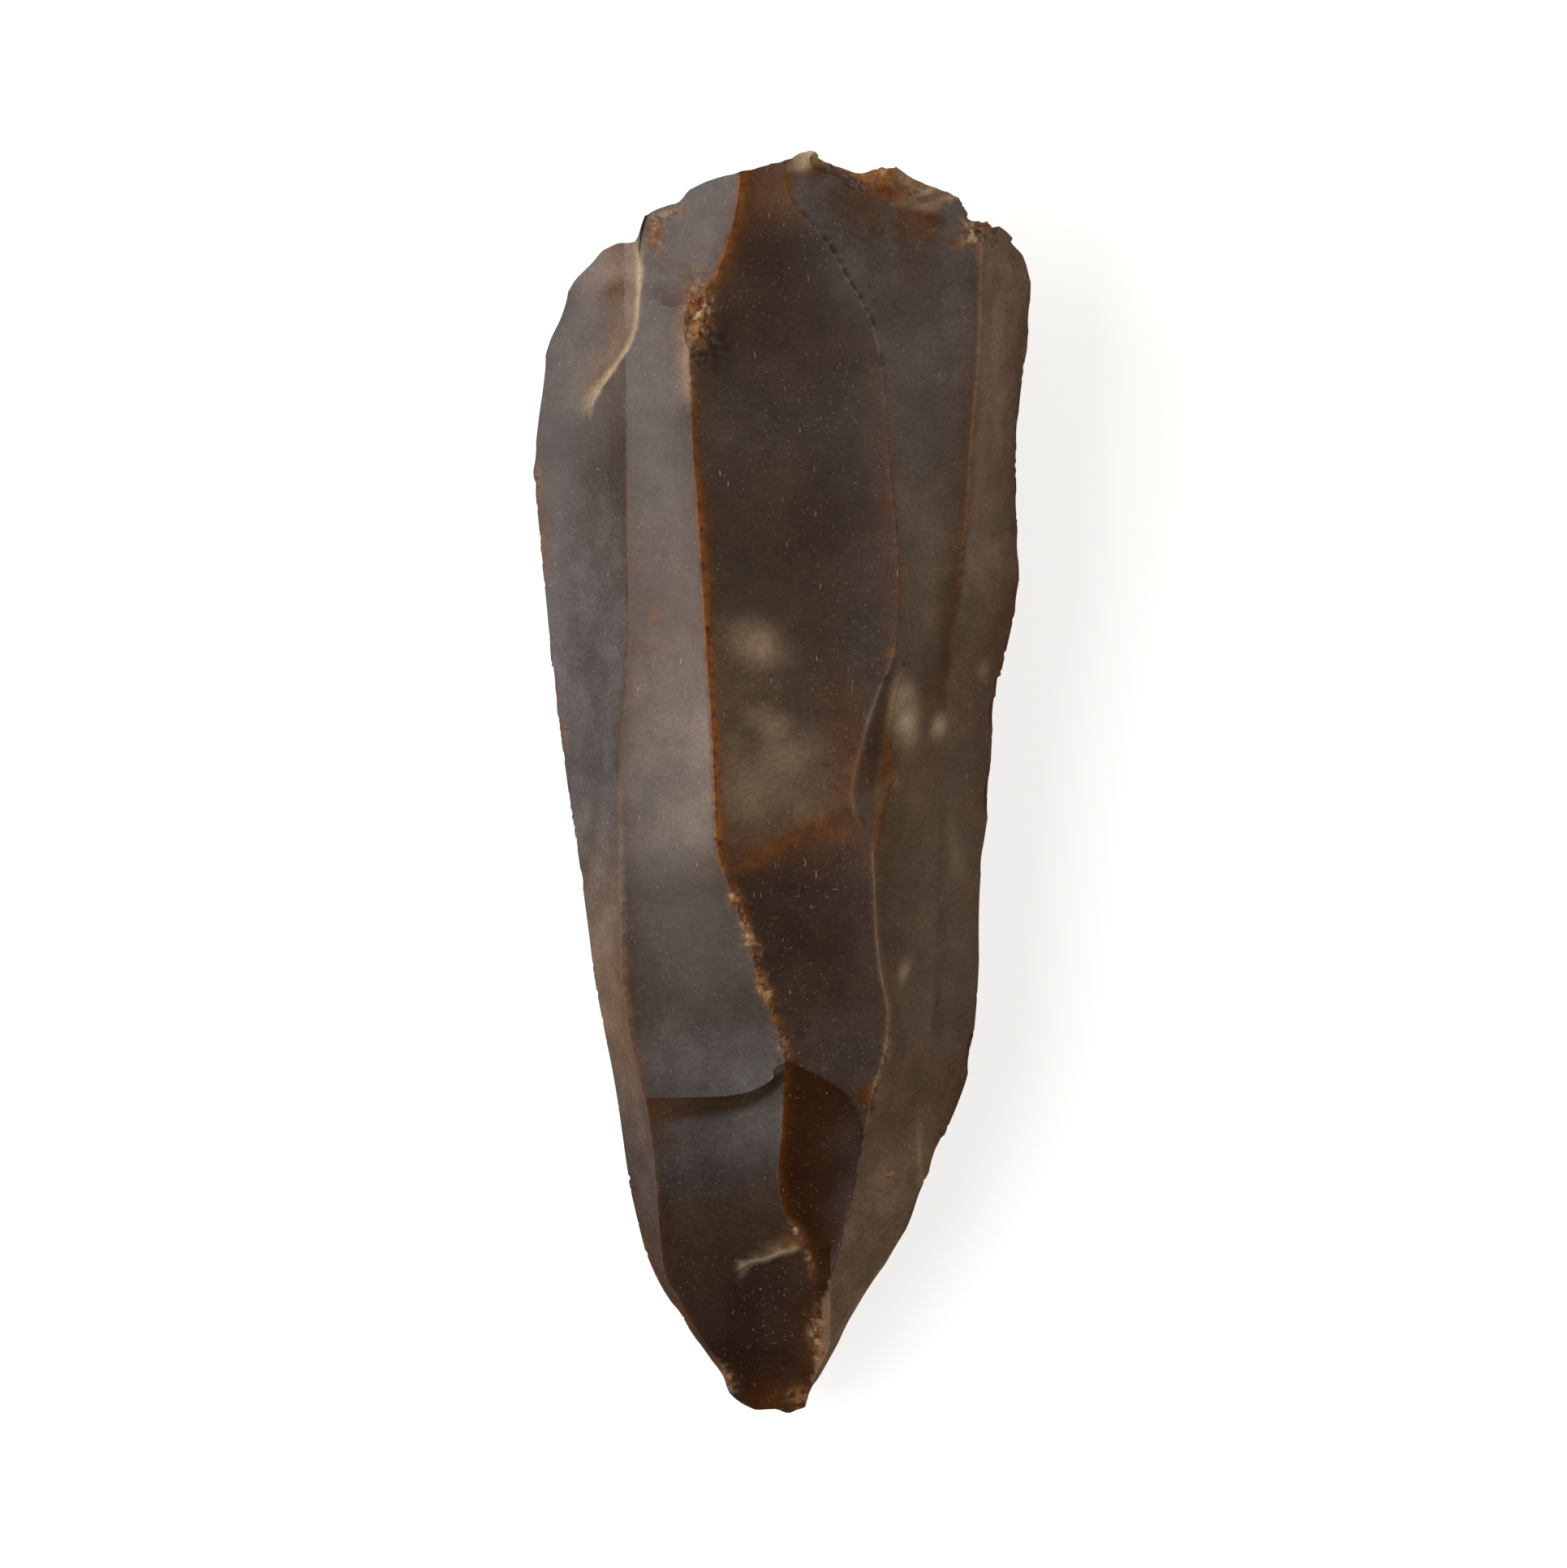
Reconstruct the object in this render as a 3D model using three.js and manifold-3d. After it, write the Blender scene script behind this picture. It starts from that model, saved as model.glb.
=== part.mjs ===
// A flint blade core, lying on its back with its blade scars up.
// Millimetres, +Z up, +Y towards the striking platform, +X to the right seen from above.
// The origin is under the middle of the stone, on the plane that it rests on.
//
// A place on the stone is given by three shares:
//   s  along the length, 0 at the tip and 1 at the furthest point of the platform edge
//   u  across the width, 0 at the left edge and 1 at the right edge
//   h  up the thickness, 0 at the resting plane and 1 at the highest ridge

import * as THREE from "three";
import { mergeVertices } from "three/addons/utils/BufferGeometryUtils.js";
import Module from "manifold-3d";

// Driving dimensions, in millimetres.
const LENGTH = 120;
const WIDTH = 47.4;
const THICKNESS = 30;

const PLATFORM_LEAN = 0.5; // how far the platform slants back under the blade face, per mm of depth
const PLATFORM_RIM = 3.5; // depth over which the ragged platform edge dies out into the flat
const TIP_LEAN = 0.35; // the same slant for the small broken face at the tip

const HINGE_DEPTH = 1.3; // drop at the hinged end of the lower left scar, and of the leaf-shaped one
const HINGE_RUN = 1.6; // length over which that hinge curls down
const LEAF_RUN = 1.6; // the same for the narrow leaf-shaped scar beside it
const LEAF_RISE = 2; // the higher, the later its floor rises towards its right border
const SIDE_STEP = 0.75; // step along the small scar on the upper left shoulder
const SIDE_STEP_RUN = 0.45;
const TIP_STEP = 0.55; // step where the short scar from the tip broke off
const TIP_STEP_RUN = 0.35;
const TIP_STEP_SHARES = [0.39, 0.46]; // shares u between which that step rises to its full height
const SPLINTER_HOLLOW = 0.12; // hollow of the narrow facet on the right ridge

// Hollow of each long scar, from the left edge round to the right edge, and the width at which it
// has all of it; then the same for the flanks and the back. A narrower stretch is flatter.
const SCAR_HOLLOW = [0.9, 0.55, 0.65, 0.45, 0.5];
const SCAR_FULL_WIDTH = [6, 6, 14, 6, 6];
const BACK_HOLLOW = 0.5;
const BACK_FULL_WIDTH = 6;
const CROSS_RIDGE = 0.85; // share of the middle scar's hollow that is lost at its cross ridge
const CROSS_RIDGE_RUN = 5; // length over which it comes back

// Edges and ridges that run along the stone, as rows of [s, u, h].
const LEFT_EDGE = [
  [-0.03, 0.335, 0.24], [0.022, 0.391, 0.27], [0.061, 0.327, 0.31], [0.082, 0.298, 0.33],
  [0.099, 0.261, 0.34], [0.119, 0.238, 0.35], [0.157, 0.212, 0.37], [0.196, 0.191, 0.4],
  [0.273, 0.162, 0.43], [0.35, 0.126, 0.46], [0.427, 0.097, 0.49], [0.504, 0.072, 0.5],
  [0.581, 0.045, 0.52], [0.658, 0.024, 0.54], [0.696, 0.018, 0.55], [0.735, 0.008, 0.57],
  [0.773, 0.0, 0.59], [0.793, 0.004, 0.6], [0.812, 0.013, 0.61], [0.831, 0.019, 0.62],
  [0.85, 0.031, 0.64], [0.87, 0.054, 0.66], [0.886, 0.066, 0.67], [0.93, 0.078, 0.68],
  [1.03, 0.08, 0.68],
];
const LEFT_RIDGE = [
  [-0.03, 0.352, 0.3], [0.022, 0.405, 0.335], [0.06, 0.345, 0.375], [0.093, 0.296, 0.41],
  [0.112, 0.27, 0.44], [0.138, 0.26, 0.5], [0.17, 0.254, 0.56], [0.208, 0.246, 0.62],
  [0.249, 0.231, 0.68], [0.282, 0.212, 0.715], [0.304, 0.199, 0.735], [0.358, 0.184, 0.77],
  [0.439, 0.181, 0.8], [0.51, 0.178, 0.82], [0.588, 0.192, 0.85], [0.628, 0.196, 0.857],
  [0.709, 0.193, 0.852], [0.773, 0.192, 0.848], [0.831, 0.191, 0.838], [0.93, 0.188, 0.79],
  [1.03, 0.188, 0.78],
];
const MAIN_RIDGE = [
  [-0.03, 0.54, 0.25], [0.006, 0.548, 0.315], [0.025, 0.556, 0.355], [0.052, 0.568, 0.415],
  [0.066, 0.574, 0.445], [0.082, 0.568, 0.48], [0.101, 0.56, 0.52], [0.128, 0.555, 0.57],
  [0.144, 0.539, 0.6], [0.157, 0.516, 0.622], [0.173, 0.5, 0.648], [0.196, 0.496, 0.685],
  [0.228, 0.503, 0.73], [0.26, 0.508, 0.77], [0.282, 0.509, 0.792], [0.301, 0.5, 0.81],
  [0.325, 0.479, 0.832], [0.345, 0.459, 0.848], [0.377, 0.438, 0.87], [0.407, 0.41, 0.888],
  [0.431, 0.388, 0.901], [0.452, 0.373, 0.911], [0.504, 0.368, 0.937], [0.547, 0.363, 0.955],
  [0.601, 0.353, 0.973], [0.655, 0.345, 0.986], [0.734, 0.332, 0.997], [0.761, 0.326, 1.0],
  [0.815, 0.322, 0.998], [0.838, 0.318, 0.995], [0.863, 0.319, 0.99], [0.88, 0.328, 0.984],
  [0.896, 0.363, 0.98], [0.923, 0.391, 0.972], [0.95, 0.41, 0.963], [0.973, 0.418, 0.955],
  [1.03, 0.424, 0.94],
];
const RIGHT_RIDGE = [
  [-0.03, 0.549, 0.245], [0.006, 0.556, 0.31], [0.025, 0.563, 0.35], [0.052, 0.575, 0.41],
  [0.066, 0.581, 0.44], [0.083, 0.58, 0.475], [0.099, 0.592, 0.506], [0.126, 0.613, 0.558],
  [0.155, 0.63, 0.608], [0.182, 0.647, 0.65], [0.206, 0.657, 0.686], [0.228, 0.669, 0.716],
  [0.255, 0.685, 0.75], [0.274, 0.699, 0.77], [0.293, 0.712, 0.788], [0.318, 0.716, 0.81],
  [0.352, 0.701, 0.837], [0.39, 0.691, 0.864], [0.425, 0.688, 0.887], [0.458, 0.684, 0.905],
  [0.49, 0.688, 0.922], [0.53, 0.7, 0.938], [0.565, 0.715, 0.95], [0.59, 0.725, 0.957],
  [0.613, 0.73, 0.962], [0.642, 0.735, 0.967], [0.664, 0.735, 0.97], [0.693, 0.732, 0.972],
  [0.731, 0.722, 0.974], [0.774, 0.712, 0.975], [0.807, 0.708, 0.974], [0.838, 0.699, 0.973],
  [0.861, 0.685, 0.972], [0.883, 0.657, 0.971], [0.901, 0.63, 0.97], [0.928, 0.589, 0.966],
  [0.95, 0.54, 0.962], [0.966, 0.513, 0.957], [0.99, 0.506, 0.95], [1.03, 0.505, 0.94],
];
// The far right ridge is given by its rise in millimetres over a straight line between its neighbours.
const FAR_RIDGE = [
  [-0.03, 0.556, 0], [0.022, 0.573, 0], [0.041, 0.592, -0.05], [0.067, 0.604, -0.1],
  [0.093, 0.626, -0.15], [0.119, 0.656, -0.2], [0.151, 0.688, -0.28], [0.183, 0.717, -0.35],
  [0.221, 0.756, -0.45], [0.266, 0.789, -0.5], [0.318, 0.805, -0.55], [0.382, 0.81, -0.6],
  [0.446, 0.812, -0.6], [0.51, 0.821, -0.45], [0.568, 0.828, 0.15], [0.613, 0.838, 1.0],
  [0.648, 0.854, 2.0], [0.684, 0.864, 3.0], [0.722, 0.875, 3.8], [0.761, 0.881, 4.3],
  [0.788, 0.886, 4.4], [0.828, 0.896, 4.4], [0.883, 0.902, 4.2], [0.934, 0.903, 4.0],
  [1.03, 0.903, 3.9],
];
const RIGHT_EDGE = [
  [-0.03, 0.57, 0.235], [0.022, 0.594, 0.3], [0.041, 0.632, 0.312], [0.061, 0.653, 0.325],
  [0.08, 0.672, 0.34], [0.119, 0.716, 0.38], [0.157, 0.761, 0.41], [0.176, 0.777, 0.425],
  [0.196, 0.8, 0.44], [0.228, 0.834, 0.46], [0.253, 0.86, 0.475], [0.273, 0.876, 0.485],
  [0.311, 0.889, 0.495], [0.35, 0.896, 0.505], [0.407, 0.901, 0.52], [0.446, 0.906, 0.53],
  [0.484, 0.917, 0.54], [0.542, 0.924, 0.56], [0.581, 0.938, 0.57], [0.619, 0.959, 0.58],
  [0.639, 0.97, 0.585], [0.661, 0.977, 0.59], [0.696, 0.974, 0.6], [0.754, 0.971, 0.615],
  [0.793, 0.976, 0.625], [0.831, 0.987, 0.64], [0.85, 0.995, 0.65], [0.87, 0.997, 0.66],
  [0.895, 1.0, 0.67], [0.93, 1.0, 0.68], [1.03, 1.0, 0.68],
];
const BASE_RIGHT = [
  [-0.03, 0.51, 0.2], [0.0, 0.52, 0.175], [0.05, 0.545, 0.12], [0.1, 0.575, 0.07],
  [0.15, 0.605, 0.03], [0.2, 0.63, 0.0], [0.3, 0.67, -0.03], [0.5, 0.7, -0.04],
  [0.7, 0.72, -0.045], [0.9, 0.7, -0.04], [1.03, 0.69, -0.03],
];
const BASE_LEFT = [
  [-0.03, 0.44, 0.2], [0.0, 0.45, 0.175], [0.05, 0.44, 0.12], [0.1, 0.425, 0.07],
  [0.15, 0.41, 0.03], [0.2, 0.39, 0.0], [0.3, 0.35, -0.03], [0.5, 0.3, -0.04],
  [0.7, 0.27, -0.045], [0.9, 0.29, -0.04], [1.03, 0.3, -0.03],
];
const CORNERS = [
  LEFT_EDGE, LEFT_RIDGE, MAIN_RIDGE, RIGHT_RIDGE, FAR_RIDGE, RIGHT_EDGE, BASE_RIGHT, BASE_LEFT,
];

// Each side of a section runs from its corner to the next. Those before the right edge are blade scars.
const [RIGHT_FLANK, BACK, LEFT_FLANK] = [RIGHT_EDGE, BASE_RIGHT, BASE_LEFT].map((c) => CORNERS.indexOf(c));
const isBladeScar = (side) => side < RIGHT_FLANK;

// Plan lines, as rows of [s, u]: the edge of the shoulder scar and the two sides of the splinter.
const SHOULDER_LINE = [
  [0.75, 0.14], [0.779, 0.118], [0.793, 0.119], [0.815, 0.144], [0.834, 0.178], [0.85, 0.202],
  [0.874, 0.215], [0.91, 0.2185], [0.928, 0.209], [1.03, 0.205],
];
const SPLINTER_LEFT = [
  [0.42, 0.678], [0.466, 0.664], [0.477, 0.648], [0.493, 0.643], [0.512, 0.651],
  [0.533, 0.664], [0.553, 0.678], [0.574, 0.698], [0.593, 0.719], [0.63, 0.745],
];
const SPLINTER_RIGHT = [
  [0.42, 0.68], [0.458, 0.695], [0.479, 0.704], [0.499, 0.716], [0.533, 0.719], [0.555, 0.722],
  [0.576, 0.732], [0.598, 0.753], [0.63, 0.757],
];

// Outline of the platform edge seen from above, and of the broken tip, as rows of [u, s].
const PLATFORM_LINE = [
  [-0.08, 0.8], [0.045, 0.875], [0.073, 0.89], [0.09, 0.902], [0.123, 0.915], [0.15, 0.926],
  [0.176, 0.929], [0.209, 0.928], [0.217, 0.934], [0.228, 0.948], [0.274, 0.957],
  [0.298, 0.96], [0.322, 0.971], [0.371, 0.98], [0.444, 0.985], [0.493, 0.99], [0.526, 0.995],
  [0.542, 0.998], [0.561, 1.0], [0.578, 0.998], [0.594, 0.993], [0.623, 0.987],
  [0.664, 0.983], [0.696, 0.987], [0.737, 0.988], [0.75, 0.983], [0.786, 0.978],
  [0.81, 0.976], [0.834, 0.969], [0.859, 0.962], [0.872, 0.95], [0.907, 0.946],
  [0.932, 0.941], [0.956, 0.934], [0.977, 0.923], [0.992, 0.908], [1.0, 0.895],
  [1.02, 0.87], [1.08, 0.8],
];
const TIP_LINE = [
  [0.2, 0.12], [0.36, 0.04], [0.391, 0.022], [0.4, 0.0155], [0.425, 0.008], [0.452, 0.0035],
  [0.486, 0.0035], [0.512, 0.0], [0.534, 0.0035], [0.553, 0.0075], [0.558, 0.019],
  [0.574, 0.028], [0.62, 0.06], [0.8, 0.16],
];
const PLATFORM_ARCH = { top: 0.998, middle: 0.558, drop: 0.438 }; // the platform without its ragged edge

// Faceting: stations along the stone, and facets across each side of a section.
const STATIONS = 48;
const STATION_FIRST = -0.028;
const STATION_LAST = 1.028;
const FACETS_ACROSS = [3, 3, 7, 3, 2, 3, 2, 3];
const LID = THICKNESS * 1.25; // top of the tools that cut down into the blade face
const DISH_RIM = 1.3; // how far past its zero line a dish-shaped tool is carried
const BROAD_LIFT = 9; // height of the walls of the broad dishes

// Broad flake scars on the two flanks and the back: share s along, share t across the side of the
// section, turn of the scar's length from the stone's in degrees, and [along, across, deep] in millimetres.
const FLANK_SCARS = [
  { side: LEFT_FLANK, s: 0.83, t: 0.43, turn: 28, size: [14.5, 11.8, 1.7] },
  { side: LEFT_FLANK, s: 0.64, t: 0.4, turn: -20, size: [14.0, 11.4, 1.3] },
  { side: LEFT_FLANK, s: 0.45, t: 0.43, turn: 16, size: [13.5, 10.2, 1.6] },
  { side: LEFT_FLANK, s: 0.27, t: 0.46, turn: -14, size: [12.5, 8.0, 1.1] },
  { side: LEFT_FLANK, s: 0.12, t: 0.5, turn: -10, size: [8.5, 5.4, 0.7] },
  { side: RIGHT_FLANK, s: 0.85, t: 0.57, turn: -24, size: [13.5, 11.0, 1.5] },
  { side: RIGHT_FLANK, s: 0.68, t: 0.6, turn: 18, size: [13.5, 11.2, 1.6] },
  { side: RIGHT_FLANK, s: 0.48, t: 0.58, turn: -16, size: [14.5, 9.8, 1.3] },
  { side: RIGHT_FLANK, s: 0.29, t: 0.56, turn: 12, size: [13.0, 8.0, 1.3] },
  { side: RIGHT_FLANK, s: 0.13, t: 0.5, turn: 8, size: [7.5, 4.2, 0.6] },
  { side: BACK, s: 0.11, t: 0.5, turn: 0, size: [9.5, 5.2, 0.5] },
];

// Scars on the platform: share u across, depth below its edge in millimetres, turn and size.
const PLATFORM_SCARS = [
  { u: 0.34, depth: 11.5, turn: 12, size: [12.4, 11.5, 1.3] },
  { u: 0.74, depth: 11.5, turn: -16, size: [12.2, 11.0, 1.5] },
  { u: 0.1, depth: 8, turn: 20, size: [7.5, 6.0, 0.7] },
  { u: 0.55, depth: 23, turn: 80, size: [9.0, 11.0, 1.0] },
];

// Small breaks on the blade face: at [s, u], sizes as above. Facing points out of the stone; where it
// is left out, the break lies in the face, tilted by a little.
const SMALL_SCARS = [
  { at: [0.936, 0.322], tilt: [-0.05, 0.05], along: [0.35, 1, 0], size: [5.8, 4.0, 0.4] },
  { at: [0.941, 0.246], facing: [-0.5, 0.25, 0.82], along: [0, 1, 0], size: [1.6, 0.8, 0.4] },
  { at: [0.982, 0.654], facing: [0.12, 0.55, 0.82], along: [1, -0.2, 0], size: [3.3, 1.5, 0.55] },
  { at: [0.967, 0.79], facing: [0.25, 0.42, 0.87], along: [1, -0.35, 0], size: [3.7, 1.8, 0.6] },
  { at: [0.938, 0.9], facing: [0.4, 0.4, 0.82], along: [1, -0.2, 0], size: [2.7, 1.2, 0.45] },
  { at: [0.912, 0.968], facing: [0.72, 0.3, 0.6], along: [0.3, 1, 0], size: [1.9, 1.0, 0.3] },
  { at: [0.874, 0.328], facing: [-0.28, -0.02, 0.96], along: [0.2, 1, 0], size: [2.7, 1.5, 0.6] },
  { at: [0.068, 0.574], facing: [0.12, -0.42, 0.9], along: [0.1, 1, 0], size: [2.0, 1.0, 0.45] },
  { at: [0.05, 0.588], facing: [0.4, -0.45, 0.8], along: [0.5, 1, 0], size: [1.3, 0.7, 0.35] },
  { at: [0.203, 0.806], facing: [0.85, -0.2, 0.45], along: [-0.3, 1, 0], size: [2.1, 1.0, 0.35] },
  { at: [0.488, 0.915], facing: [0.88, 0, 0.45], along: [0, 1, 0], size: [2.2, 0.9, 0.3] },
  { at: [0.285, 0.876], facing: [0.88, -0.1, 0.45], along: [-0.2, 1, 0], size: [1.8, 0.8, 0.3] },
];

// Nibbles along the two sharp side edges.
const NIBBLES = 10;
const NIBBLE_SIZE = [1.6, 0.8, 0.2];
const NIBBLE_OUT = 0.1;
const NIBBLE_LIFT = 2.5;
const NIBBLE_SPAN = [0.42, 0.9];

const FLINT = { color: 0x4f443d, roughness: 0.42, metalness: 0 };

const wasm = await Module();
wasm.setup();

const placeX = (u) => (u - 0.5) * WIDTH;
const placeY = (s) => (s - 0.5) * LENGTH;
const placeZ = (h) => h * THICKNESS;
const shareU = (x) => x / WIDTH + 0.5;
const shareS = (y) => y / LENGTH + 0.5;

// A smooth line through rows of [key, value, ...] that never swings past its own points.
function smoothLine(rows) {
  const keys = rows.map((row) => row[0]);
  const channels = rows[0].slice(1).map((_, c) => {
    const values = rows.map((row) => row[c + 1]);
    const slopes = values.slice(1).map((v, i) => (v - values[i]) / (keys[i + 1] - keys[i]));
    const tangents = values.map((_, i) => {
      if (i === 0) return slopes[0];
      if (i === values.length - 1) return slopes[i - 1];
      const [before, after] = [slopes[i - 1], slopes[i]];
      return before * after <= 0 ? 0 : (2 * before * after) / (before + after);
    });
    return { values, tangents };
  });
  return (key) => {
    let i = keys.findIndex((k) => k > key) - 1;
    if (key >= keys.at(-1)) i = keys.length - 2;
    i = Math.max(i, 0);
    const span = keys[i + 1] - keys[i];
    const t = Math.min(Math.max((key - keys[i]) / span, 0), 1);
    return channels.map(({ values, tangents }) => {
      const rise = values[i + 1] - values[i];
      const bend = (1 - t) * tangents[i] * span - t * tangents[i + 1] * span + (2 * t - 1) * rise;
      return values[i] + t * rise + t * (1 - t) * bend;
    });
  };
}

const cornerLines = CORNERS.map(smoothLine);
const rightRidge = cornerLines[3];
const riseOfFarRidge = cornerLines[4];
cornerLines[4] = (s) => {
  const [u, rise] = riseOfFarRidge(s);
  const [u0, h0] = rightRidge(s);
  const [u1, h1] = cornerLines[5](s);
  return [u, h0 + ((h1 - h0) * (u - u0)) / (u1 - u0) + rise / THICKNESS];
};

// How much of its hollow the middle scar keeps near the ridge that crosses it on a slant.
function middleHollowLeft(s, t) {
  const crossAt = 0.437 + 0.052 * t;
  const away = Math.abs(s - crossAt) * LENGTH;
  return 1 - CROSS_RIDGE * Math.exp(-away / CROSS_RIDGE_RUN);
}

// The hollow in the middle of one side of a section, which goes with the square of a narrow width.
function hollowAt(side, s, t, width) {
  if (!isBladeScar(side)) return BACK_HOLLOW * Math.min(1, width / BACK_FULL_WIDTH);
  const full = SCAR_HOLLOW[side] * Math.min(1, width / SCAR_FULL_WIDTH[side]) ** 2;
  return full * (side === 2 ? middleHollowLeft(s, t) : 1);
}

// The point at share t across one side of the section at s; the hollow always goes into the stone.
function sidePoint(side, s, t) {
  const [u0, h0] = cornerLines[side](s);
  const [u1, h1] = cornerLines[(side + 1) % CORNERS.length](s);
  const inwards = isBladeScar(side) ? -1 : 1;
  const width = Math.abs(u1 - u0) * WIDTH;
  const hollow = hollowAt(side, s, t, width) * 4 * t * (1 - t);
  return [placeX(u0 + (u1 - u0) * t), placeY(s), placeZ(h0 + (h1 - h0) * t) + inwards * hollow];
}

// Height of one blade scar over any plan point, carried on past its own ridges.
function scarHeight(side, x, y) {
  const s = shareS(y);
  const [u0] = cornerLines[side](s);
  const [u1] = cornerLines[side + 1](s);
  return sidePoint(side, s, (shareU(x) - u0) / (u1 - u0))[2];
}

// Height of the whole blade face over a plan point.
function faceHeight(x, y) {
  const u = shareU(x);
  const s = shareS(y);
  let side = 0;
  while (isBladeScar(side + 1) && cornerLines[side + 1](s)[0] < u) side += 1;
  return scarHeight(side, x, y);
}

function solidOf(geometry) {
  const bare = geometry.clone();
  bare.deleteAttribute("normal");
  bare.deleteAttribute("uv");
  const merged = mergeVertices(bare, 1e-4);
  return new wasm.Manifold(
    new wasm.Mesh({
      numProp: 3,
      vertProperties: merged.attributes.position.array,
      triVerts: new Uint32Array(merged.index.array),
    }),
  );
}

function geometryOf(points, triangles) {
  const geometry = new THREE.BufferGeometry();
  geometry.setAttribute("position", new THREE.Float32BufferAttribute(points.flat(), 3));
  geometry.setIndex(triangles);
  return geometry;
}

// Skins rows of closed loops, all with the same number of points. endOf(first, flip) gives the
// triangles that close one end, from the number of its first point.
function skinOf(loops, endOf, extraPoints = []) {
  const around = loops[0].length;
  const triangles = [];
  for (let row = 0; row < loops.length - 1; row += 1) {
    for (let k = 0; k < around; k += 1) {
      const a = row * around + k;
      const b = row * around + ((k + 1) % around);
      triangles.push(a, b, b + around, a, b + around, a + around);
    }
  }
  triangles.push(...endOf(0, false), ...endOf((loops.length - 1) * around, true));
  return turnedOut(geometryOf([...loops.flat(), ...extraPoints], triangles));
}

// The stone as its long scars and its back leave it, before the ends are cut and the small scars struck.
function roughStone() {
  const loops = [];
  for (let row = 0; row <= STATIONS; row += 1) {
    const s = STATION_FIRST + ((STATION_LAST - STATION_FIRST) * row) / STATIONS;
    const loop = CORNERS.flatMap((_, side) =>
      Array.from({ length: FACETS_ACROSS[side] }, (_, k) => sidePoint(side, s, k / FACETS_ACROSS[side])),
    );
    loops.push(loop);
  }
  const around = loops[0].length;
  const middles = [loops[0], loops.at(-1)].map((loop) =>
    [0, 1, 2].map((axis) => loop.reduce((sum, p) => sum + p[axis], 0) / around),
  );
  const fan = (first, flip) => {
    const centre = loops.length * around + (flip ? 1 : 0);
    return Array.from({ length: around }, (_, k) => {
      const pair = [first + ((k + 1) % around), first + k];
      return [centre, ...(flip ? pair.reverse() : pair)];
    }).flat();
  };
  return skinOf(loops, fan, middles);
}

function turnedOut(geometry) {
  const solid = solidOf(geometry);
  if (solid.volume() > 0) return solid;
  const flipped = geometry.clone();
  const index = flipped.index.array;
  for (let i = 0; i < index.length; i += 3) [index[i + 1], index[i + 2]] = [index[i + 2], index[i + 1]];
  return solidOf(flipped);
}

// A cutting tool: a grid of points on the surface that it leaves, with its back moved off by a vector.
function toolFrom(rows, columns, surfacePoint, backPoint) {
  const loops = [];
  for (let i = 0; i < rows.length; i += 1) {
    const front = columns.map((c) => surfacePoint(rows[i], c));
    const back = columns.map((c, k) => backPoint(front[k], rows[i], c)).reverse();
    loops.push([...front, ...back]);
  }
  const around = loops[0].length;
  // The two ends are strips between the front and the back.
  const strip = (first, flip) =>
    Array.from({ length: columns.length - 1 }, (_, k) => {
      const [a, b] = [first + k, first + k + 1];
      const [c, d] = [first + around - 2 - k, first + around - 1 - k];
      const faces = [[a, c, b], [a, d, c]];
      return faces.map((f) => (flip ? f.reverse() : f)).flat();
    }).flat();
  return skinOf(loops, strip);
}

const upToLid = ([x, y]) => [x, y, LID];
const steps = (from, to, count) =>
  Array.from({ length: count + 1 }, (_, i) => from + ((to - from) * i) / count);

// Drop below the old surface at a distance past a scar's edge; before the edge the tool stays above it.
const dropPast = (distance, depth, run) =>
  distance < 0 ? (distance * depth) / run : depth * (1 - Math.exp(-distance / run));

const platformLine = smoothLine(PLATFORM_LINE);
const platformArch = (u) => PLATFORM_ARCH.top - PLATFORM_ARCH.drop * (u - PLATFORM_ARCH.middle) ** 2;

// The platform slants back under the face, and its ragged edge dies out below the rim.
function platformPoint(depth, u) {
  const [s] = platformLine(u);
  const x = placeX(u);
  const ragged = Math.exp(-Math.max(depth, 0) / PLATFORM_RIM);
  const y = placeY(platformArch(u) + (s - platformArch(u)) * ragged) - depth * PLATFORM_LEAN;
  return [x, y, faceHeight(x, placeY(s)) - depth];
}

function platformTool() {
  const depths = [-8, 0, 0.9, 2, 3.5, 6, 10, 18, THICKNESS + 3];
  const across = PLATFORM_LINE.map((row) => row[0]);
  return toolFrom(depths, across, platformPoint, ([x, , z]) => [x, LENGTH * 0.75, z]);
}

function tipTool() {
  const line = smoothLine(TIP_LINE);
  const middle = placeZ(0.25);
  const across = TIP_LINE.map((row) => row[0]);
  const point = (z, u) => [placeX(u), placeY(line(u)[0]) + Math.abs(z - middle) * TIP_LEAN, z];
  const tall = THICKNESS * 0.45;
  const heights = steps(middle - tall, middle + tall, 6);
  return toolFrom(heights, across, point, ([x, , z]) => [x, -LENGTH * 0.75, z]);
}

// The surface of a scar that ends at an arc across one side of the section and runs to the tip.
function endedScar(side, arc, run, share) {
  return (distance, t) => {
    const s = arc(Math.min(Math.max(t, 0), 1)) - distance / LENGTH;
    const [u0] = cornerLines[side](s);
    const [u1] = cornerLines[side + 1](s);
    const x = placeX(u0 + (u1 - u0) * t);
    const ran = dropPast(distance, HINGE_DEPTH, run);
    return [x, placeY(s), scarHeight(side, x, placeY(s)) - (ran > 0 ? ran * share(t) : ran)];
  };
}

// Rows of a tool that starts at such an arc: close together where the hinge curls, then evenly on.
const endedRows = (length, count) => [-2, -0.8, 0, 0.5, 1.2, 2.2, 3.5, ...steps(6, length, count)];

// The broad scar at the lower left, with a curled hinge at its upper end.
const hingeArc = (t) => 0.2526 + 0.001 * t + 0.024 * t ** 6;
const hingeScar = endedScar(1, hingeArc, HINGE_RUN, () => 1);
const hingeTool = () =>
  toolFrom(endedRows(LENGTH * 0.29, 12), steps(-0.3, 1.12, 14), hingeScar, upToLid);

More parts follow.
